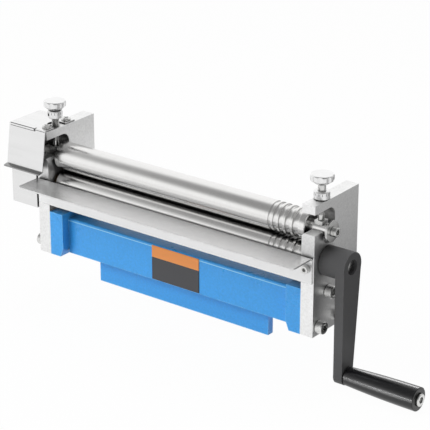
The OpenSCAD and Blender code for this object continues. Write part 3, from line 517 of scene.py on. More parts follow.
def wire_cast(tree, given, out):
    """Cast skin: sand grains from smooth cells over a slow swell."""
    grains = put(tree, "ShaderNodeTexVoronoi", {"Vector": given["Coordinates"], "Scale": given["Grains"]},
                 feature="SMOOTH_F1").outputs["Distance"]
    swell = noise(tree, given["Coordinates"], 60.0, 5.0, 0.6)
    tree.links.new(maths(tree, "MULTIPLY_ADD", grains, 0.45, swell), out["Height"])


ORIGIN = (0.0, 0.0, 0.0)
GROUPS = {
    "Tool marks": (wire_grain, {"Coordinates": ORIGIN, "Stretch": (1.0, 1.0, 1.0), "Fineness": 900.0},
                   ("Height", "Tone")),
    "Soft patches": (wire_patches, {"Coordinates": ORIGIN, "Scale": 30.0, "Low": 0.0, "High": 1.0},
                     ("Value",)),
    "Worn edges": (wire_edges, {"Coordinates": ORIGIN, "Radius": 0.0008, "Strength": 6.0}, ("Mask",)),
    "Dark crevices": (wire_crevice_shade, {"Distance": 0.004, "Shut": 0.15, "Open": 0.75}, ("Mask",)),
    "Cast skin": (wire_cast, {"Coordinates": ORIGIN, "Grains": 900.0}, ("Height",)),
}


def use(tree, name, inputs):
    """The outputs of one placed copy of a shader group. The group is wired at its first use, with a
    vector socket for each default of three values and a number socket for each other one."""
    group = bpy.data.node_groups.get(name)
    if group is None:
        wire, given, results = GROUPS[name]
        group = bpy.data.node_groups.new(name, "ShaderNodeTree")
        for title, value in given.items():
            kind = "NodeSocketVector" if isinstance(value, tuple) else "NodeSocketFloat"
            group.interface.new_socket(title, in_out="INPUT", socket_type=kind).default_value = value
        for title in results:
            group.interface.new_socket(title, in_out="OUTPUT", socket_type="NodeSocketFloat")
        wire(group, group.nodes.new("NodeGroupInput").outputs, group.nodes.new("NodeGroupOutput").inputs)
    return put(tree, "ShaderNodeGroup", inputs, node_tree=group).outputs


# Finishes

def shade(colour, share):
    """A colour made darker or lighter by a share, as red, green, blue and full alpha."""
    return tuple(min(1.0, c * share) for c in colour[:3]) + (1.0,)


def new_material(name):
    """An empty material with its Principled shader, its output and the object's coordinates."""
    material = bpy.data.materials.new(name)
    material.use_nodes = True
    tree = material.node_tree
    tree.nodes.clear()
    shader = put(tree, "ShaderNodeBsdfPrincipled")
    end = put(tree, "ShaderNodeOutputMaterial")
    tree.links.new(shader.outputs[0], end.inputs["Surface"])
    coordinates = put(tree, "ShaderNodeTexCoord").outputs["Object"]
    return material, tree, shader, coordinates


def link_up(tree, shader, colour, roughness, height, bump, depth):
    """A material's last links: its colour, its roughness, and its height as a bump."""
    bumped = put(tree, "ShaderNodeBump", {"Strength": bump, "Distance": depth, "Height": height})
    tree.links.new(colour, shader.inputs["Base Color"])
    tree.links.new(roughness, shader.inputs["Roughness"])
    tree.links.new(bumped.outputs["Normal"], shader.inputs["Normal"])


def metal(name, colour, dull, stretch, fineness, tone=0.12, bump=0.2, depth=0.00002, edge=0.0006,
          edge_strength=5.0, rim=1.25, crevice=0.004, crevice_shade=0.15, cloud=0.0, cloud_scale=260.0,
          metallic=1.0, shade_ahead_of=None):
    """Bare metal: tool marks stretched along the cut tint the colour and lift the surface, clouds
    darken it in spots, slow patches move the roughness between its two values, and edges take the
    rim's share of the colour, lighter as wear where it is over one and darker as painted shade where it
    is under one. Crevices get painted shade, and so does what lies in front of a given place Y, fading in
    over half a millimetre."""
    cloud_shade, ahead_shade, fade = 0.55, 0.42, 0.0005
    material, tree, shader, place = new_material(name)
    grain = use(tree, "Tool marks", {"Coordinates": place, "Stretch": stretch, "Fineness": fineness})
    dulled = use(tree, "Soft patches", {"Coordinates": place, "Scale": 40.0, "Low": dull[0], "High": dull[1]})
    edge_wear_and_light = use(tree, "Worn edges", {"Coordinates": place, "Radius": edge, "Strength": edge_strength})
    tinted = mixed(tree, grain["Tone"], shade(colour, 1 - tone), shade(colour, 1 + tone))
    spots = use(tree, "Soft patches", {"Coordinates": place, "Scale": cloud_scale, "High": cloud})
    clouded = mixed(tree, spots["Value"], tinted, shade(colour, cloud_shade))
    # Edges: lighter as wear, or darker as painted shade where the rim's share is under one
    bright = mixed(tree, edge_wear_and_light["Mask"], clouded, shade(colour, rim))
    # Painted shade in crevices, where little of the sky is open nearby
    occlusion = use(tree, "Dark crevices", {"Distance": crevice})
    shaded_colour = mixed(tree, occlusion["Mask"], bright, shade(colour, crevice_shade))
    # Painted shade on what lies in front of the given place Y
    if shade_ahead_of is not None:
        y = put(tree, "ShaderNodeSeparateXYZ", {0: place}).outputs["Y"]
        ahead = ranged(tree, y, shade_ahead_of - fade, shade_ahead_of, 1.0, 0.0)
        shaded_colour = mixed(tree, ahead, shaded_colour, shade(colour, ahead_shade))
    link_up(tree, shader, shaded_colour, dulled["Value"], grain["Height"], bump, depth)
    shader.inputs["Metallic"].default_value = metallic
    return material


def coated(name, colour, dull, grains, bump, depth=0.0001, tone=0.08, worn_and_highlight_colour=None, coat=0.0,
           edge=0.0012, edge_strength=4.0, crevice=0.005, crevice_shade=0.45, mottle=14.0, mirrored=None, highlight_line=None):
    """Paint, powder coat or plastic: the cast skin lifts the surface, slow patches shift the tone and
    the roughness, edges are lighter as wear and in part as painted highlight, a painted highlight
    stripe lies at a given (place Y, height Z, half width), and crevices get painted shade.
    A mirrored colour is a painted reflection: what metal nearby shows of the coat in its place."""
    material, tree, shader, place = new_material(name)
    skin = use(tree, "Cast skin", {"Coordinates": place, "Grains": grains})
    dulled = use(tree, "Soft patches", {"Coordinates": place, "Scale": 25.0, "Low": dull[0], "High": dull[1]})
    shift = use(tree, "Soft patches", {"Coordinates": place, "Scale": mottle, "Low": 0.0, "High": 1.0})
    edge_wear_and_light = use(tree, "Worn edges", {"Coordinates": place, "Radius": edge, "Strength": edge_strength})
    tinted = mixed(tree, shift["Value"], shade(colour, 1 - tone), shade(colour, 1 + tone))
    # Edges are lighter as wear, and in part as painted highlight
    bright = mixed(tree, edge_wear_and_light["Mask"], tinted, worn_and_highlight_colour or shade(colour, 1.5))
    # Painted highlight: a lighter stripe at the given place Y and height Z
    if highlight_line is not None:
        highlight_y, highlight_z, half = highlight_line
        parts = put(tree, "ShaderNodeSeparateXYZ", {0: place}).outputs
        ahead = maths(tree, "COMPARE", parts["Y"], highlight_y, half)
        level = maths(tree, "COMPARE", parts["Z"], highlight_z, half)
        bright = mixed(tree, maths(tree, "MULTIPLY", ahead, level), bright, worn_and_highlight_colour)
    # Painted shade in crevices
    occlusion = use(tree, "Dark crevices", {"Distance": crevice})
    shaded_colour = mixed(tree, occlusion["Mask"], bright, shade(colour, crevice_shade))
    # Painted reflection: reflections show the coat in the mirrored colour
    if mirrored is not None:
        shaded_colour = mixed(tree, put(tree, "ShaderNodeLightPath").outputs["Is Glossy Ray"], shaded_colour, mirrored)
    link_up(tree, shader, shaded_colour, dulled["Value"], skin["Height"], bump, depth)
    shader.inputs["Coat Weight"].default_value = coat
    return material


def info_foil(name, band, field, border):
    """Bare two-tone foil: an upper band over a darker field, parted at a height on the object."""
    material, tree, shader, place = new_material(name)
    height = put(tree, "ShaderNodeSeparateXYZ", {0: place}).outputs["Z"]
    above = maths(tree, "GREATER_THAN", height, border)
    dulled = use(tree, "Soft patches", {"Coordinates": place, "Scale": 60.0, "Low": 0.32, "High": 0.42})
    grain = use(tree, "Tool marks", {"Coordinates": place, "Stretch": (0.3, 1, 1), "Fineness": 1500.0})
    base = mixed(tree, above, field, band)
    tinted = mixed(tree, grain["Tone"], base, shade(field, 1.3))
    link_up(tree, shader, mixed(tree, 0.12, base, tinted), dulled["Value"], grain["Height"], 0.15, 0.00002)
    return material


def finish_of(slot):
    """The material of a finish slot, made at its first use."""
    name = slot + "_look"
    made = bpy.data.materials.get(name)
    if made:
        return made
    c = bpy.context.scene.slip_roll_colours
    even = (1, 1, 1)
    # The crevice settings paint shade into crevices, and a rim share under one paints shade along the edges
    makers = {
        # The beam: a painted highlight stripe under its top front edge, and a painted reflection colour for
        # metal nearby
        "blue_casting": lambda: coated(
            name, c.paint, (0.26, 0.36), grains=320.0, bump=1.0, depth=0.0004, tone=0.08, mottle=420.0,
            coat=0.15, worn_and_highlight_colour=(0.30, 0.70, 1.0, 1), edge=0.0022, edge_strength=2.0, crevice=0.03,
            crevice_shade=0.36, highlight_line=(BEAM_FRONT, BEAM_HIGH - 0.0027, 0.0005), mirrored=(0.07, 0.08, 0.09, 1)),
        "machined_plate": lambda: metal(
            name, c.plate, (0.36, 0.48), even, fineness=1400.0, tone=0.1, bump=0.3, crevice=0.011,
            crevice_shade=0.1, cloud=0.3, cloud_scale=520.0),
        "bright_screw": lambda: metal(
            name, (0.70, 0.70, 0.69), (0.16, 0.26), even, fineness=1600.0, rim=0.5, crevice=0.0026,
            crevice_shade=0.05),
        "polished_shelf": lambda: metal(
            name, c.shelf, (0.07, 0.12), (0.04, 1, 1), fineness=1500.0, tone=0.06, bump=1.0,
            depth=0.00016, edge=0.0009, edge_strength=7.0, rim=0.35, crevice=0.015, crevice_shade=0.25,
            metallic=0.7),
        # The cover's lip is painted darker in front of its lean, as painted shade
        "guard_sheet": lambda: metal(
            name, c.sheet, (0.16, 0.26), (0.08, 1, 1), fineness=1500.0, tone=0.05, bump=0.12,
            crevice=0.014, crevice_shade=0.04, shade_ahead_of=COVER_LEAN_Y - 0.0004),
        "info_foil": lambda: info_foil(name, tuple(c.band) + (1,), tuple(c.field) + (1,), BAND_FOOT),
        "bronze_bush": lambda: metal(name, (0.60, 0.40, 0.19), (0.25, 0.4), (1, 0.1, 0.1), fineness=1400.0),
        "ground_roller": lambda: metal(
            name, c.ground, (0.19, 0.25), (1, 0.06, 0.06), fineness=2600.0, tone=0.025, bump=0.05,
            crevice=0.010, crevice_shade=0.06),
        "gear_steel": lambda: metal(name, (0.46, 0.46, 0.45), (0.25, 0.42), (0.1, 1, 1), fineness=1500.0),
        "dark_steel": lambda: metal(name, (0.10, 0.10, 0.105), (0.3, 0.5), even, fineness=1200.0),
        "zinc_steel": lambda: metal(
            name, (0.66, 0.66, 0.65), (0.18, 0.3), even, fineness=1500.0, rim=0.45, crevice=0.009,
            crevice_shade=0.06),
        "knob_chrome": lambda: metal(
            name, c.chrome, (0.32, 0.4), (1, 1, 0.2), fineness=1800.0, tone=0.06, bump=0.12,
            edge=0.0015, rim=0.6, crevice=0.0035, crevice_shade=0.35),
        "black_casting": lambda: coated(name, c.crank, (0.5, 0.66), grains=1300.0, bump=0.4, depth=0.00012),
        "black_plastic": lambda: coated(name, c.grip, (0.19, 0.24), grains=300.0, bump=0.015, tone=0.2),
    }
    return makers[slot]()


# Operators

class SLIPROLL_OT_casting(bpy.types.Operator):
    """Cast beam with rounded edges and enamel"""

    bl_idname = "slip_roll.casting"
    bl_label = "Cast Beam"

    def execute(self, context):
        sizes = context.scene.slip_roll_sizes
        casting = softened("base_casting", sizes.cast_round, 4)
        self.round_front(casting.data, sizes.front_round)
        stand_for(casting, "base_casting")
        return {"FINISHED"}

    def round_front(self, mesh, radius):
        """The beam's top front edge gets its wide rounding before the other edges get theirs."""
        near = 1e-5
        work = bmesh.new()
        work.from_mesh(mesh)
        front = [edge for edge in work.edges
                 if all(abs(v.co.y - BEAM_FRONT) < near and abs(v.co.z - BEAM_HIGH) < near
                        for v in edge.verts)]
        bmesh.ops.bevel(work, geom=front, offset=radius, offset_type="OFFSET", segments=6, profile=0.5,
                        affect="EDGES", clamp_overlap=False)
        work.to_mesh(mesh)
        work.free()
        mesh.shade_smooth()


class SLIPROLL_OT_end_plates(bpy.types.Operator):
    """End plates with broken edges"""

    bl_idname = "slip_roll.end_plates"
    bl_label = "End Plates"

    def execute(self, context):
        soften(context.scene.slip_roll_sizes.plate_round, 2, "end_plate_left", "end_plate_right")
        return {"FINISHED"}


class SLIPROLL_OT_sheet_work(bpy.types.Operator):
    """Feed shelf, gear cover, gear box and bare info plate"""

    bl_idname = "slip_roll.sheet_work"
    bl_label = "Shelf and Guards"

    def execute(self, context):
        sizes = context.scene.slip_roll_sizes
        soften(sizes.sheet_round, 2, "feed_shelf", "gear_cover", "gear_box")
        self.lip(bpy.data.objects["gear_cover_soft"].data)
        # A hem along the cover's upper front edge, with dark strips at its top, below it and in its middle
        # that are painted shade in its gaps
        hem_foot, thin = COVER_TOP - 0.0024, 0.0003
        corner = (HEM_ENDS[1], reach("gear_cover", 0, 1) - 0.0006)
        hem = piece("cover_hem", [self.strip(hem_foot, COVER_TOP, 0.0004)])
        dress(hem, BODY_OF["gear_cover"], "guard_sheet")
        # Painted shade: dark strips stand in for the shade in the gaps along the hem
        seams = piece("cover_seams", [self.strip(COVER_TOP - 0.00055, COVER_TOP + 0.00005, 2 * thin),
                                      self.strip(hem_foot - 0.0006, hem_foot, thin),
                                      self.strip(COVER_TOP - 0.0016, COVER_TOP - 0.0011, thin, corner)])
        dress(seams, BODY_OF["gear_cover"], "dark_steel")
        soften(sizes.small_round, 2, "info_plate")
        return {"FINISHED"}

    def lip(self, mesh):
        """The cover's lip hangs a little: ahead of the gear box the lower edge falls by a depth that
        grows from nothing to the drop over the lean, and the lip beyond it keeps on at a slope."""
        drop, slope, start = 0.0015, 0.22, SHEET_FACE - 0.001
        work = bmesh.new()
        work.from_mesh(mesh)
        bmesh.ops.bisect_plane(work, geom=[*work.verts, *work.edges, *work.faces],
                               plane_co=(0, start, 0), plane_no=Y, dist=MERGED)
        work.to_mesh(mesh)
        work.free()
        points = np.empty(len(mesh.vertices) * 3)
        mesh.vertices.foreach_get("co", points)
        points = points.reshape(-1, 3)
        ahead = np.clip((start - points[:, 1]) / (start - COVER_LEAN_Y), 0, 1)
        beyond = np.maximum(COVER_LEAN_Y - points[:, 1], 0)
        low = points[:, 2] < COVER_LOW_EDGE
        points[:, 2] -= np.where(low, drop * ahead + slope * beyond, 0)
        mesh.vertices.foreach_set("co", points.ravel())
        mesh.update()

    def strip(self, low, high, proud, ends=HEM_ENDS):
        """A folded strip along the cover's upper front edge: a rounded outline of place Y and height Z
        carried along X between two ends, and drawn together to its middle at each end. The outline
        leans with the cover's front: Y falls by the slope times the depth below the top."""
        root, face = SHEET_FACE + 0.0003, SHEET_FACE - proud
        outline = rounded([(root, low), (face, low), (face, high), (root, high)], proud * 0.6, 2)
        outline[:, 0] -= (COVER_TOP - outline[:, 1]) * COVER_SLOPE
        middle = outline.mean(axis=0)
        size = np.array([0, 1, 1, 0])[:, None, None]
        across = middle + size * (outline - middle)
        along = np.array([ends[0]] * 2 + [ends[1]] * 2)[:, None, None]
        points = np.concatenate([np.broadcast_to(along, across.shape[:2] + (1,)), across], axis=-1)
        return points.reshape(-1, 3), grid_faces(4, len(outline))


class SLIPROLL_OT_rollers(bpy.types.Operator):
    """Lower, upper and rear rollers with their wire grooves"""

    bl_idname = "slip_roll.rollers"
    bl_label = "Rollers"

    def execute(self, context):
        sizes = context.scene.slip_roll_sizes
        half, shoulder = PLATE_IN - 0.0025, PLATE_OUT + 0.0002
        key_end = reach("lower_gear_key", 0, 1) + 0.0002
        crank_end, rear_end = reach("lower_roller", 0, 1), reach("rear_roller", 0, 1)
        fine, broad = 0.0001, 0.0004
        gear_seat = seat_end(reach("lower_roller", 0, 0), GEAR_SEAT, LEFT_SHANK, 1)
        gear_stop = [(key_end, GEAR_SEAT), (GEAR_IN, GEAR_SEAT)]
        low = np.vstack([
            gear_seat,
            rounded(gear_stop + [(GEAR_IN, CRANK_SEAT), (-shoulder, CRANK_SEAT), (-shoulder, LOW_JOURNAL),
                                 (-half, LOW_JOURNAL)], fine, 2),
            roller_profile(sizes, half, LOW_JOURNAL),
            rounded([(half, LOW_JOURNAL), (shoulder, LOW_JOURNAL), (shoulder, CRANK_SEAT),
                     (crank_end, CRANK_SEAT), (crank_end, 0)], broad, 3)])
        up = np.vstack([
            gear_seat,
            rounded(gear_stop + [(GEAR_IN, UP_JOURNAL), (-half, UP_JOURNAL)], fine, 2),
            roller_profile(sizes, half, UP_JOURNAL),
            seat_end(UP_END, UP_JOURNAL, RIGHT_SHANK, -1)[::-1]])
        rear = np.vstack([
            rounded([(-rear_end, 0), (-rear_end, REAR_JOURNAL), (-half, REAR_JOURNAL)], 0.0005, 3),
            roller_profile(sizes, half, REAR_JOURNAL),
            rounded([(half, REAR_JOURNAL), (rear_end, REAR_JOURNAL), (rear_end, 0)], 0.0005, 3)])
        for place, axis, profile in (("lower", LOW_AXIS, low), ("upper", UP_AXIS, up)):
            body = turned(axis, X, profile, trim=self.keyway(axis, key_end))
            stand_for(piece(f"{place}_roller_ground", [body]), f"{place}_roller")
        stand_for(piece("rear_roller_ground", [turned(REAR_AXIS, X, rear)]), "rear_roller")
        return {"FINISHED"}

    def keyway(self, axis, end):
        """What cuts the keyway: points of the seat left of its end and within its width are brought
        down to its floor where they stand above it."""
        half, floor = 0.0023, 0.0036

        def trim(points):
            x, y, z = points[..., 0], points[..., 1] - axis[1], points[..., 2] - axis[2]
            cut = (x < end + SLACK) & (np.abs(y) < half) & (z > floor)
            points[..., 2] = np.where(cut, axis[2] + floor, points[..., 2])
            return points

        return trim


class SLIPROLL_OT_bushes_and_gears(bpy.types.Operator):
    """Bronze bushes, gears, keys and washers"""

    bl_idname = "slip_roll.bushes_and_gears"
    bl_label = "Bushes and Gears"

    def execute(self, context):
        sizes = context.scene.slip_roll_sizes
        soften(sizes.small_round, 2, "lower_gear", "upper_gear", "lower_gear_key", "upper_gear_key")
        hole, outer, rim, rim_end = LOW_JOURNAL + RUN_GAP, 0.010, 0.012, PLATE_IN - 0.0015
        bush = rounded([(PLATE_OUT, hole), (PLATE_OUT, outer), (PLATE_IN, outer), (PLATE_IN, rim),
                        (rim_end, rim), (rim_end, hole)], [0.0003, 0.0001, 0.0002, 0.0003], 3)
        for node, way in (("lower_bush_right", X), ("lower_bush_left", -X)):
            stand_for(piece(node + "_turned", [turned(LOW_AXIS, way, bush, closed=True)]), node)
        left = (-X, -GEAR_OUT, -WASHER_OUT, 0.010)
        right = (X, UP_END, UP_WASHER_OUT, 0.011)
        stand_for(piece("lower_washer_turned", [washer(LOW_AXIS, *left)]), "lower_gear_washer")
        stand_for(piece("upper_washers_turned", [washer(UP_AXIS, *left), washer(UP_AXIS, *right)]),
                  "upper_washers")
        return {"FINISHED"}


class SLIPROLL_OT_crank(bpy.types.Operator):
    """Crank casting, its grub screw, the grip and its bolt"""

    bl_idname = "slip_roll.crank"
    bl_label = "Crank"

    def execute(self, context):
        sizes = context.scene.slip_roll_sizes
        soften(sizes.arm_round, 4, "crank_arm")
        soften(sizes.small_round / 2, 2, "crank_set_screw")
        y, z = ROLLER_Y - CRANK_R * math.sin(CRANK_LEAN), LOW_Z - CRANK_R * math.cos(CRANK_LEAN)
        grip = turned((0, y, z), X, self.grip(), closed=True)
        stand_for(piece("grip_moulded", [grip]), "handle_grip")
        head = reach("grip_bolt", 0, 1) - M8
        bolt = cap_screw((head, y, z), X, M8, head - reach("grip_bolt", 0, 0), sizes.knurl_count)
        stand_for(piece("grip_bolt_turned", [bolt]), "grip_bolt")
        return {"FINISHED"}

    def grip(self):
        """The grip's closed outline as (place, radius): over its length t the radius swells as
        small + (big - small) (1 - (1 - t)^2), and the bolt's head sits in a pocket at its end."""
        start, end = reach("handle_grip", 0, 0), reach("handle_grip", 0, 1)
        small, big, inset = 0.0097, 0.0122, 0.0012
        bore, pocket, floor = M8 / 2 + RUN_GAP, 0.0068, end - 0.00505
        t = np.linspace(0, 1, 40)
        swell = np.stack([start + inset + (end - start - 2 * inset) * t,
                          small + (big - small) * (1 - (1 - t) ** 2)], axis=1)
        near = rounded([(floor, bore), (start, bore), (start, small), swell[0]], [0.0003, 0.0014], 6)
        far = rounded([swell[-1], (end, big), (end, pocket), (floor, pocket), (floor, bore)],
                      [0.0015, 0.0004, 0.0001], 6)
        return np.vstack([near, swell[1:-1], far])


class SLIPROLL_OT_adjusters(bpy.types.Operator):
    """Adjusting screws, knobs, lock collars and pressure pads"""

    bl_idname = "slip_roll.adjusters"
    bl_label = "Adjusters"

    def execute(self, context):
        sizes = context.scene.slip_roll_sizes
        tip_r, tip_long, rod_r = 0.0032, 0.0054, M8 / 2
        for end, x in (("right", PLATE_MID), ("left", -PLATE_MID)):
            screw, knob, collar = f"adjusting_screw_{end}", f"knob_{end}", f"lock_collar_{end}"
            foot, top = reach(screw, 2, 0), reach(screw, 2, 1)
            knob_z, collar_z = reach(knob, 2, 0), reach(collar, 2, 0)
            cut_start, cut_end = foot + tip_long, collar_z + 0.006
            rod = threaded((x, ROLLER_Y, 0), Z, [(foot, cut_start, tip_r, False),
                                                 (cut_start, cut_end, rod_r, True),
                                                 (cut_end, top, rod_r, False)],
                           sizes.thread_pitch, sizes.thread_depth)
            marks = piece(f"collar_marks_{end}", [self.marks((x, ROLLER_Y, collar_z), 14)])
            dress(marks, BODY_OF[collar], "dark_steel")
            stand_for(piece(screw + "_threaded", [rod]), screw)
            stand_for(piece(knob + "_lobed", [self.knob((x, ROLLER_Y, knob_z), sizes)]), knob)
            soften(sizes.small_round, 2, collar, f"pressure_pad_{end}")
        return {"FINISHED"}

    def marks(self, place, count):
        """Scale marks round a collar: thin upright blocks at even angles, whose outer face stands a
        hair proud of the collar."""
        radius, low, high = 0.008, 0.0044, 0.0069
        half, deep, proud = 0.00025, 0.0003, 0.00004
        angle = np.arange(count) * 2 * np.pi / count
        out = np.stack([np.cos(angle), np.sin(angle), 0 * angle], axis=1)[:, None]
        along = np.stack([-np.sin(angle), np.cos(angle), 0 * angle], axis=1)[:, None]
        side = np.array([-half, half, half, -half] * 2)[None, :, None]
        reached = radius + np.array([-deep, -deep, proud, proud] * 2)[None, :, None]
        height = np.array([low] * 4 + [high] * 4)[None, :, None] * np.array(Z)
        points = np.array(place) + side * along + reached * out + height
        box = np.array([(0, 1, 2, 3), (4, 5, 6, 7), (0, 1, 5, 4), (1, 2, 6, 5), (2, 3, 7, 6), (3, 0, 4, 7)])
        return points.reshape(-1, 3), (box + 8 * np.arange(count)[:, None, None]).reshape(-1, 4)

    def knob(self, place, sizes):
        """The knob's profile, whose radius is held inside a lobed outline: the hollow at angle B
        from its middle is a circle of radius q about a centre at distance c, so the outline there is
        c cos B - sqrt(q^2 - c^2 sin^2 B). A soft minimum of the two rounds the lobes' edges."""
        out, high, bore, blind = 0.0118, 0.0106, M8 / 2 + RUN_GAP, 0.00742
        body = rounded([(blind, 0), (blind, bore), (0, bore), (0, 0.0055), (0.0013, 0.0074),
                        (0.0030, 0.0097), (0.0047, out), (0.0094, out), (0.0104, 0.0109), (high, 0.0100),
                        (high, 0.0)],
                       [0.0002, 0.0002, 0.0004, 0.0010, 0.0014, 0.0006, 0.0010, 0.0008, 0.0008], 5)
        q = out / 2
        c = out + q - sizes.lobe_depth
        step = 2 * np.pi / sizes.knob_lobes
        soft = 0.00025

        def radius_at(z, angle, radius):
            b = (angle % step) - step / 2
            inside = np.maximum(q ** 2 - (c * np.sin(b)) ** 2, 0)
            lobed = np.where(np.abs(c * np.sin(b)) < q, c * np.cos(b) - np.sqrt(inside), out * 1.1)
            lobed = np.minimum(lobed, out * 1.02)
            h = np.clip(0.5 + 0.5 * (lobed - radius) / soft, 0, 1)
            return lobed * (1 - h) + radius * h - soft * h * (1 - h)

        return turned(place, Z, body, sides=192, radius_at=radius_at)


class SLIPROLL_OT_screws(bpy.types.Operator):
    """Cap screws of the plates, the shelf and the rollers' ends, and the guards' pan screws"""

    bl_idname = "slip_roll.screws"
    bl_label = "Screws"

    def execute(self, context):
        sizes = context.scene.slip_roll_sizes
        n = sizes.knurl_count
        plate_shank = PLATE_OUT - reach("plate_bolts_right", 0, 0)
        for end, side in (("right", 1), ("left", -1)):
            bolts = [cap_screw((side * PLATE_OUT, y, z), X * side, M8, plate_shank, n)
                     for y, z in PLATE_BOLTS]
            stand_for(piece(f"plate_bolts_{end}_turned", bolts), f"plate_bolts_{end}")
        shelf_z = (reach("feed_shelf_screws", 2, 0) + reach("feed_shelf_screws", 2, 1)) / 2
        shelf_shank = reach("feed_shelf_screws", 1, 1) - SHEET_FACE
        shelf = [cap_screw((x, SHEET_FACE, shelf_z), -Y, M5, shelf_shank, n)
                 for x in (PLATE_MID, -PLATE_MID)]
        stand_for(piece("feed_shelf_screws_turned", shelf), "feed_shelf_screws")
        low, up = [cap_screw((WASHER_OUT, ROLLER_Y, z), -X, M6, LEFT_SHANK, n) for z in (LOW_Z, UP_Z)]
        right = cap_screw((UP_WASHER_OUT, ROLLER_Y, UP_Z), X, M6, RIGHT_SHANK, n)
        stand_for(piece("lower_gear_screw_turned", [low]), "lower_gear_screw")
        stand_for(piece("upper_end_screws_turned", [up, right]), "upper_end_screws")
        soften(sizes.small_round, 3, "gear_cover_screws", "gear_box_screws")
        return {"FINISHED"}


class SLIPROLL_OT_rear_set(bpy.types.Operator):
    """Rear bearing blocks, their grub screws and lock nuts"""

    bl_idname = "slip_roll.rear_set"
    bl_label = "Rear Set"

    def execute(self, context):
        sizes = context.scene.slip_roll_sizes
        for end in ("right", "left"):
            soften(sizes.plate_round, 2, f"rear_block_{end}")
            soften(sizes.small_round, 2, f"rear_screw_{end}", f"rear_nut_{end}")
        return {"FINISHED"}


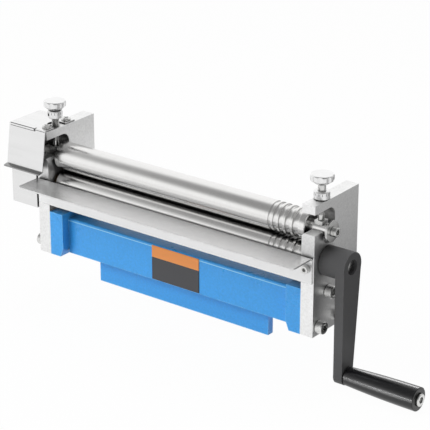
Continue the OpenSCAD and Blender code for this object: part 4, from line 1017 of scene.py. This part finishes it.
class SLIPROLL_OT_stage(bpy.types.Operator):
    """Pale floor, soft studio lamps, even room light and the camera"""

    bl_idname = "slip_roll.stage"
    bl_label = "Stage"

    def execute(self, context):
        stage = context.scene.slip_roll_stage
        self.floor(stage)
        self.world(stage)
        self.lamps(stage)
        self.camera(stage)
        context.scene.view_settings.view_transform = "Standard"
        return {"FINISHED"}

    def floor(self, stage):
        """A square floor under the object's lowest point. It is white to the camera and in reflections,
        with part of its own shading kept so that the shadow shows, and metal shows it dark at the
        back right, a painted shade seen only in reflections."""
        half, low = 4, CAD_BOX[0][2] - 0.0005
        corners = np.array([(-half, -half, low), (half, -half, low), (half, half, low), (-half, half, low)])
        mesh = bpy.data.meshes.new("floor")
        mesh.from_pydata(corners.tolist(), [], [(0, 1, 2, 3)])
        floor = bpy.data.objects.new("floor", mesh)
        bpy.context.scene.collection.objects.link(floor)
        material = bpy.data.materials.new("pale_floor")
        material.use_nodes = True
        tree = material.node_tree
        tree.nodes.clear()
        seen = put(tree, "ShaderNodeLightPath").outputs
        mirrored = maths(tree, "MAXIMUM", seen["Is Glossy Ray"], seen["Is Transmission Ray"])
        to_camera, to_mirrors = 0.97, 0.95
        share = maths(tree, "MULTIPLY_ADD", mirrored, to_mirrors,
                      maths(tree, "MULTIPLY", seen["Is Camera Ray"], to_camera))
        coordinates = put(tree, "ShaderNodeTexCoord").outputs["Object"]
        place = put(tree, "ShaderNodeSeparateXYZ", {0: coordinates}).outputs
        # Painted shade seen only in reflections: the floor darkens towards the back right for glossy and
        # transmission rays
        dark = mirrored
        for axis, start, end, first, last in (("Y", 0.04, 0.10, 0, 1), ("X", 0.16, 0.20, 0, 1),
                                              ("X", 0.22, 0.46, stage.floor_shade, stage.floor_shade - 0.45)):
            part = ranged(tree, place[axis], start, end, first, last, "SMOOTHSTEP")
            dark = maths(tree, "MULTIPLY", dark, part)
        plain = put(tree, "ShaderNodeBsdfDiffuse", {"Color": tuple(stage.floor_colour) + (1,)})
        white = put(tree, "ShaderNodeEmission", {"Color": (1, 1, 1, 1), "Strength": 1.0})
        black = put(tree, "ShaderNodeEmission", {"Color": (0, 0, 0, 1), "Strength": 0.0})
        lit = put(tree, "ShaderNodeMixShader", {0: share, 1: plain.outputs[0], 2: white.outputs[0]})
        both = put(tree, "ShaderNodeMixShader", {0: dark, 1: lit.outputs[0], 2: black.outputs[0]})
        end = put(tree, "ShaderNodeOutputMaterial")
        tree.links.new(both.outputs[0], end.inputs["Surface"])
        mesh.materials.append(material)

    def world(self, stage):
        """Room light: white to the camera and through glass. Otherwise it falls off towards +X and
        towards the ceiling, and only mirrors see it at full strength."""
        world = bpy.data.worlds.new("Room")
        bpy.context.scene.world = world
        world.use_nodes = True
        tree = world.node_tree
        tree.nodes.clear()
        way = put(tree, "ShaderNodeTexCoord").outputs["Generated"]
        parts = put(tree, "ShaderNodeSeparateXYZ", {0: way}).outputs
        fall = ranged(tree, parts["X"], -0.1, 0.7, 1.0, 0.43, "SMOOTHSTEP")
        lift = maths(tree, "MULTIPLY_ADD", parts["Y"], -0.45, parts["Z"])
        ceiling = ranged(tree, lift, 0.62, 0.88, 1.1, 0.32, "SMOOTHSTEP")
        arch = maths(tree, "MULTIPLY", fall, ceiling)
        seen = put(tree, "ShaderNodeLightPath").outputs
        shiny = ranged(tree, seen["Is Glossy Ray"], 0.0, 1.0, stage.sky, 1.0)
        level = maths(tree, "MULTIPLY", arch, shiny)
        plain = maths(tree, "MAXIMUM", seen["Is Camera Ray"], seen["Is Transmission Ray"])
        strength = ranged(tree, plain, 0.0, 1.0, level, 1.0)
        room = put(tree, "ShaderNodeBackground", {"Color": (1, 1, 1, 1), "Strength": strength})
        end = put(tree, "ShaderNodeOutputWorld")
        tree.links.new(room.outputs[0], end.inputs["Surface"])

    def lamps(self, stage):
        """Two large lamps that mirrors don't show, and two small ones for the gloss of the grip alone."""
        for name, place, target, size, power in (
                ("Key lamp", (-1.1, -1.5, 1.5), (0, 0, 0.08), (1.3, 1.3), stage.key_power),
                ("Top lamp", (0.1, 0.3, 1.9), (0, 0, 0.1), (1.4, 1.4), stage.top_power)):
            self.lamp(name, place, target, size, power).visible_glossy = False
        plastic = bpy.data.collections.new("Glossy plastic")
        plastic.objects.link(bpy.data.objects["grip_moulded"])
        for name, place, size, share in (("Grip lamp", (0.07, -0.34, -0.07), (0.2, 0.07), 1.0),
                                         ("Grip rim lamp", (0.02, 0.36, 0.21), (0.25, 0.12), 0.34)):
            gloss = self.lamp(name, place, (0.25, 0, -0.028), size, stage.grip_power * share)
            gloss.visible_diffuse = False
            gloss.light_linking.receiver_collection = plastic
            gloss.light_linking.blocker_collection = plastic

    def lamp(self, name, place, target, size, power):
        """A soft lamp of a width and height, turned to its target and not seen by the camera."""
        light = bpy.data.lights.new(name, "AREA")
        light.shape = "RECTANGLE"
        light.size, light.size_y = size
        light.energy = power
        obj = bpy.data.objects.new(name, light)
        obj.matrix_world = (Vector(target) - Vector(place)).to_track_quat("-Z", "Y").to_matrix().to_4x4()
        obj.location = place
        obj.visible_camera = False
        bpy.context.scene.collection.objects.link(obj)
        return obj

    def camera(self, stage):
        """The camera at its place, turned to its target and rolled about its own axis."""
        camera = bpy.data.objects.new("Camera", bpy.data.cameras.new("Camera"))
        camera.data.lens = stage.lens
        camera.data.sensor_width = 36.0
        place, target = Vector(stage.camera_place), Vector(stage.camera_target)
        roll = Euler((0, 0, stage.camera_roll)).to_matrix()
        turn = (target - place).to_track_quat("-Z", "Y").to_matrix() @ roll
        camera.matrix_world = turn.to_4x4()
        camera.location = place
        bpy.context.scene.collection.objects.link(camera)
        bpy.context.scene.camera = camera


STEPS = ("casting", "end_plates", "sheet_work", "rollers", "bushes_and_gears", "crank", "adjusters", "screws",
         "rear_set", "stage")


class VIEW3D_PT_slip_roll(bpy.types.Panel):
    """The slip roll's sizes, colours, stage and operators"""

    bl_label = "Slip Roll"
    bl_space_type = "VIEW_3D"
    bl_region_type = "UI"
    bl_category = "Slip Roll"

    def draw(self, context):
        scene = context.scene
        column = self.layout.column()
        for group in (scene.slip_roll_sizes, scene.slip_roll_colours, scene.slip_roll_stage):
            box = column.box()
            for name in group.__annotations__:
                box.prop(group, name)
        for step in STEPS:
            column.operator("slip_roll." + step)


CLASSES = (SlipRollSizes, SlipRollColours, SlipRollStage, SLIPROLL_OT_casting, SLIPROLL_OT_end_plates,
           SLIPROLL_OT_sheet_work, SLIPROLL_OT_rollers, SLIPROLL_OT_bushes_and_gears, SLIPROLL_OT_crank,
           SLIPROLL_OT_adjusters, SLIPROLL_OT_screws, SLIPROLL_OT_rear_set, SLIPROLL_OT_stage,
           VIEW3D_PT_slip_roll)


def register():
    for cls in CLASSES:
        bpy.utils.register_class(cls)
    bpy.types.Scene.slip_roll_sizes = PointerProperty(type=SlipRollSizes)
    bpy.types.Scene.slip_roll_colours = PointerProperty(type=SlipRollColours)
    bpy.types.Scene.slip_roll_stage = PointerProperty(type=SlipRollStage)


def unregister():
    del bpy.types.Scene.slip_roll_stage
    del bpy.types.Scene.slip_roll_colours
    del bpy.types.Scene.slip_roll_sizes
    for cls in reversed(CLASSES):
        bpy.utils.unregister_class(cls)


def main():
    register()
    for step in STEPS:
        getattr(bpy.ops.slip_roll, step)()


if __name__ == "__main__":
    main()
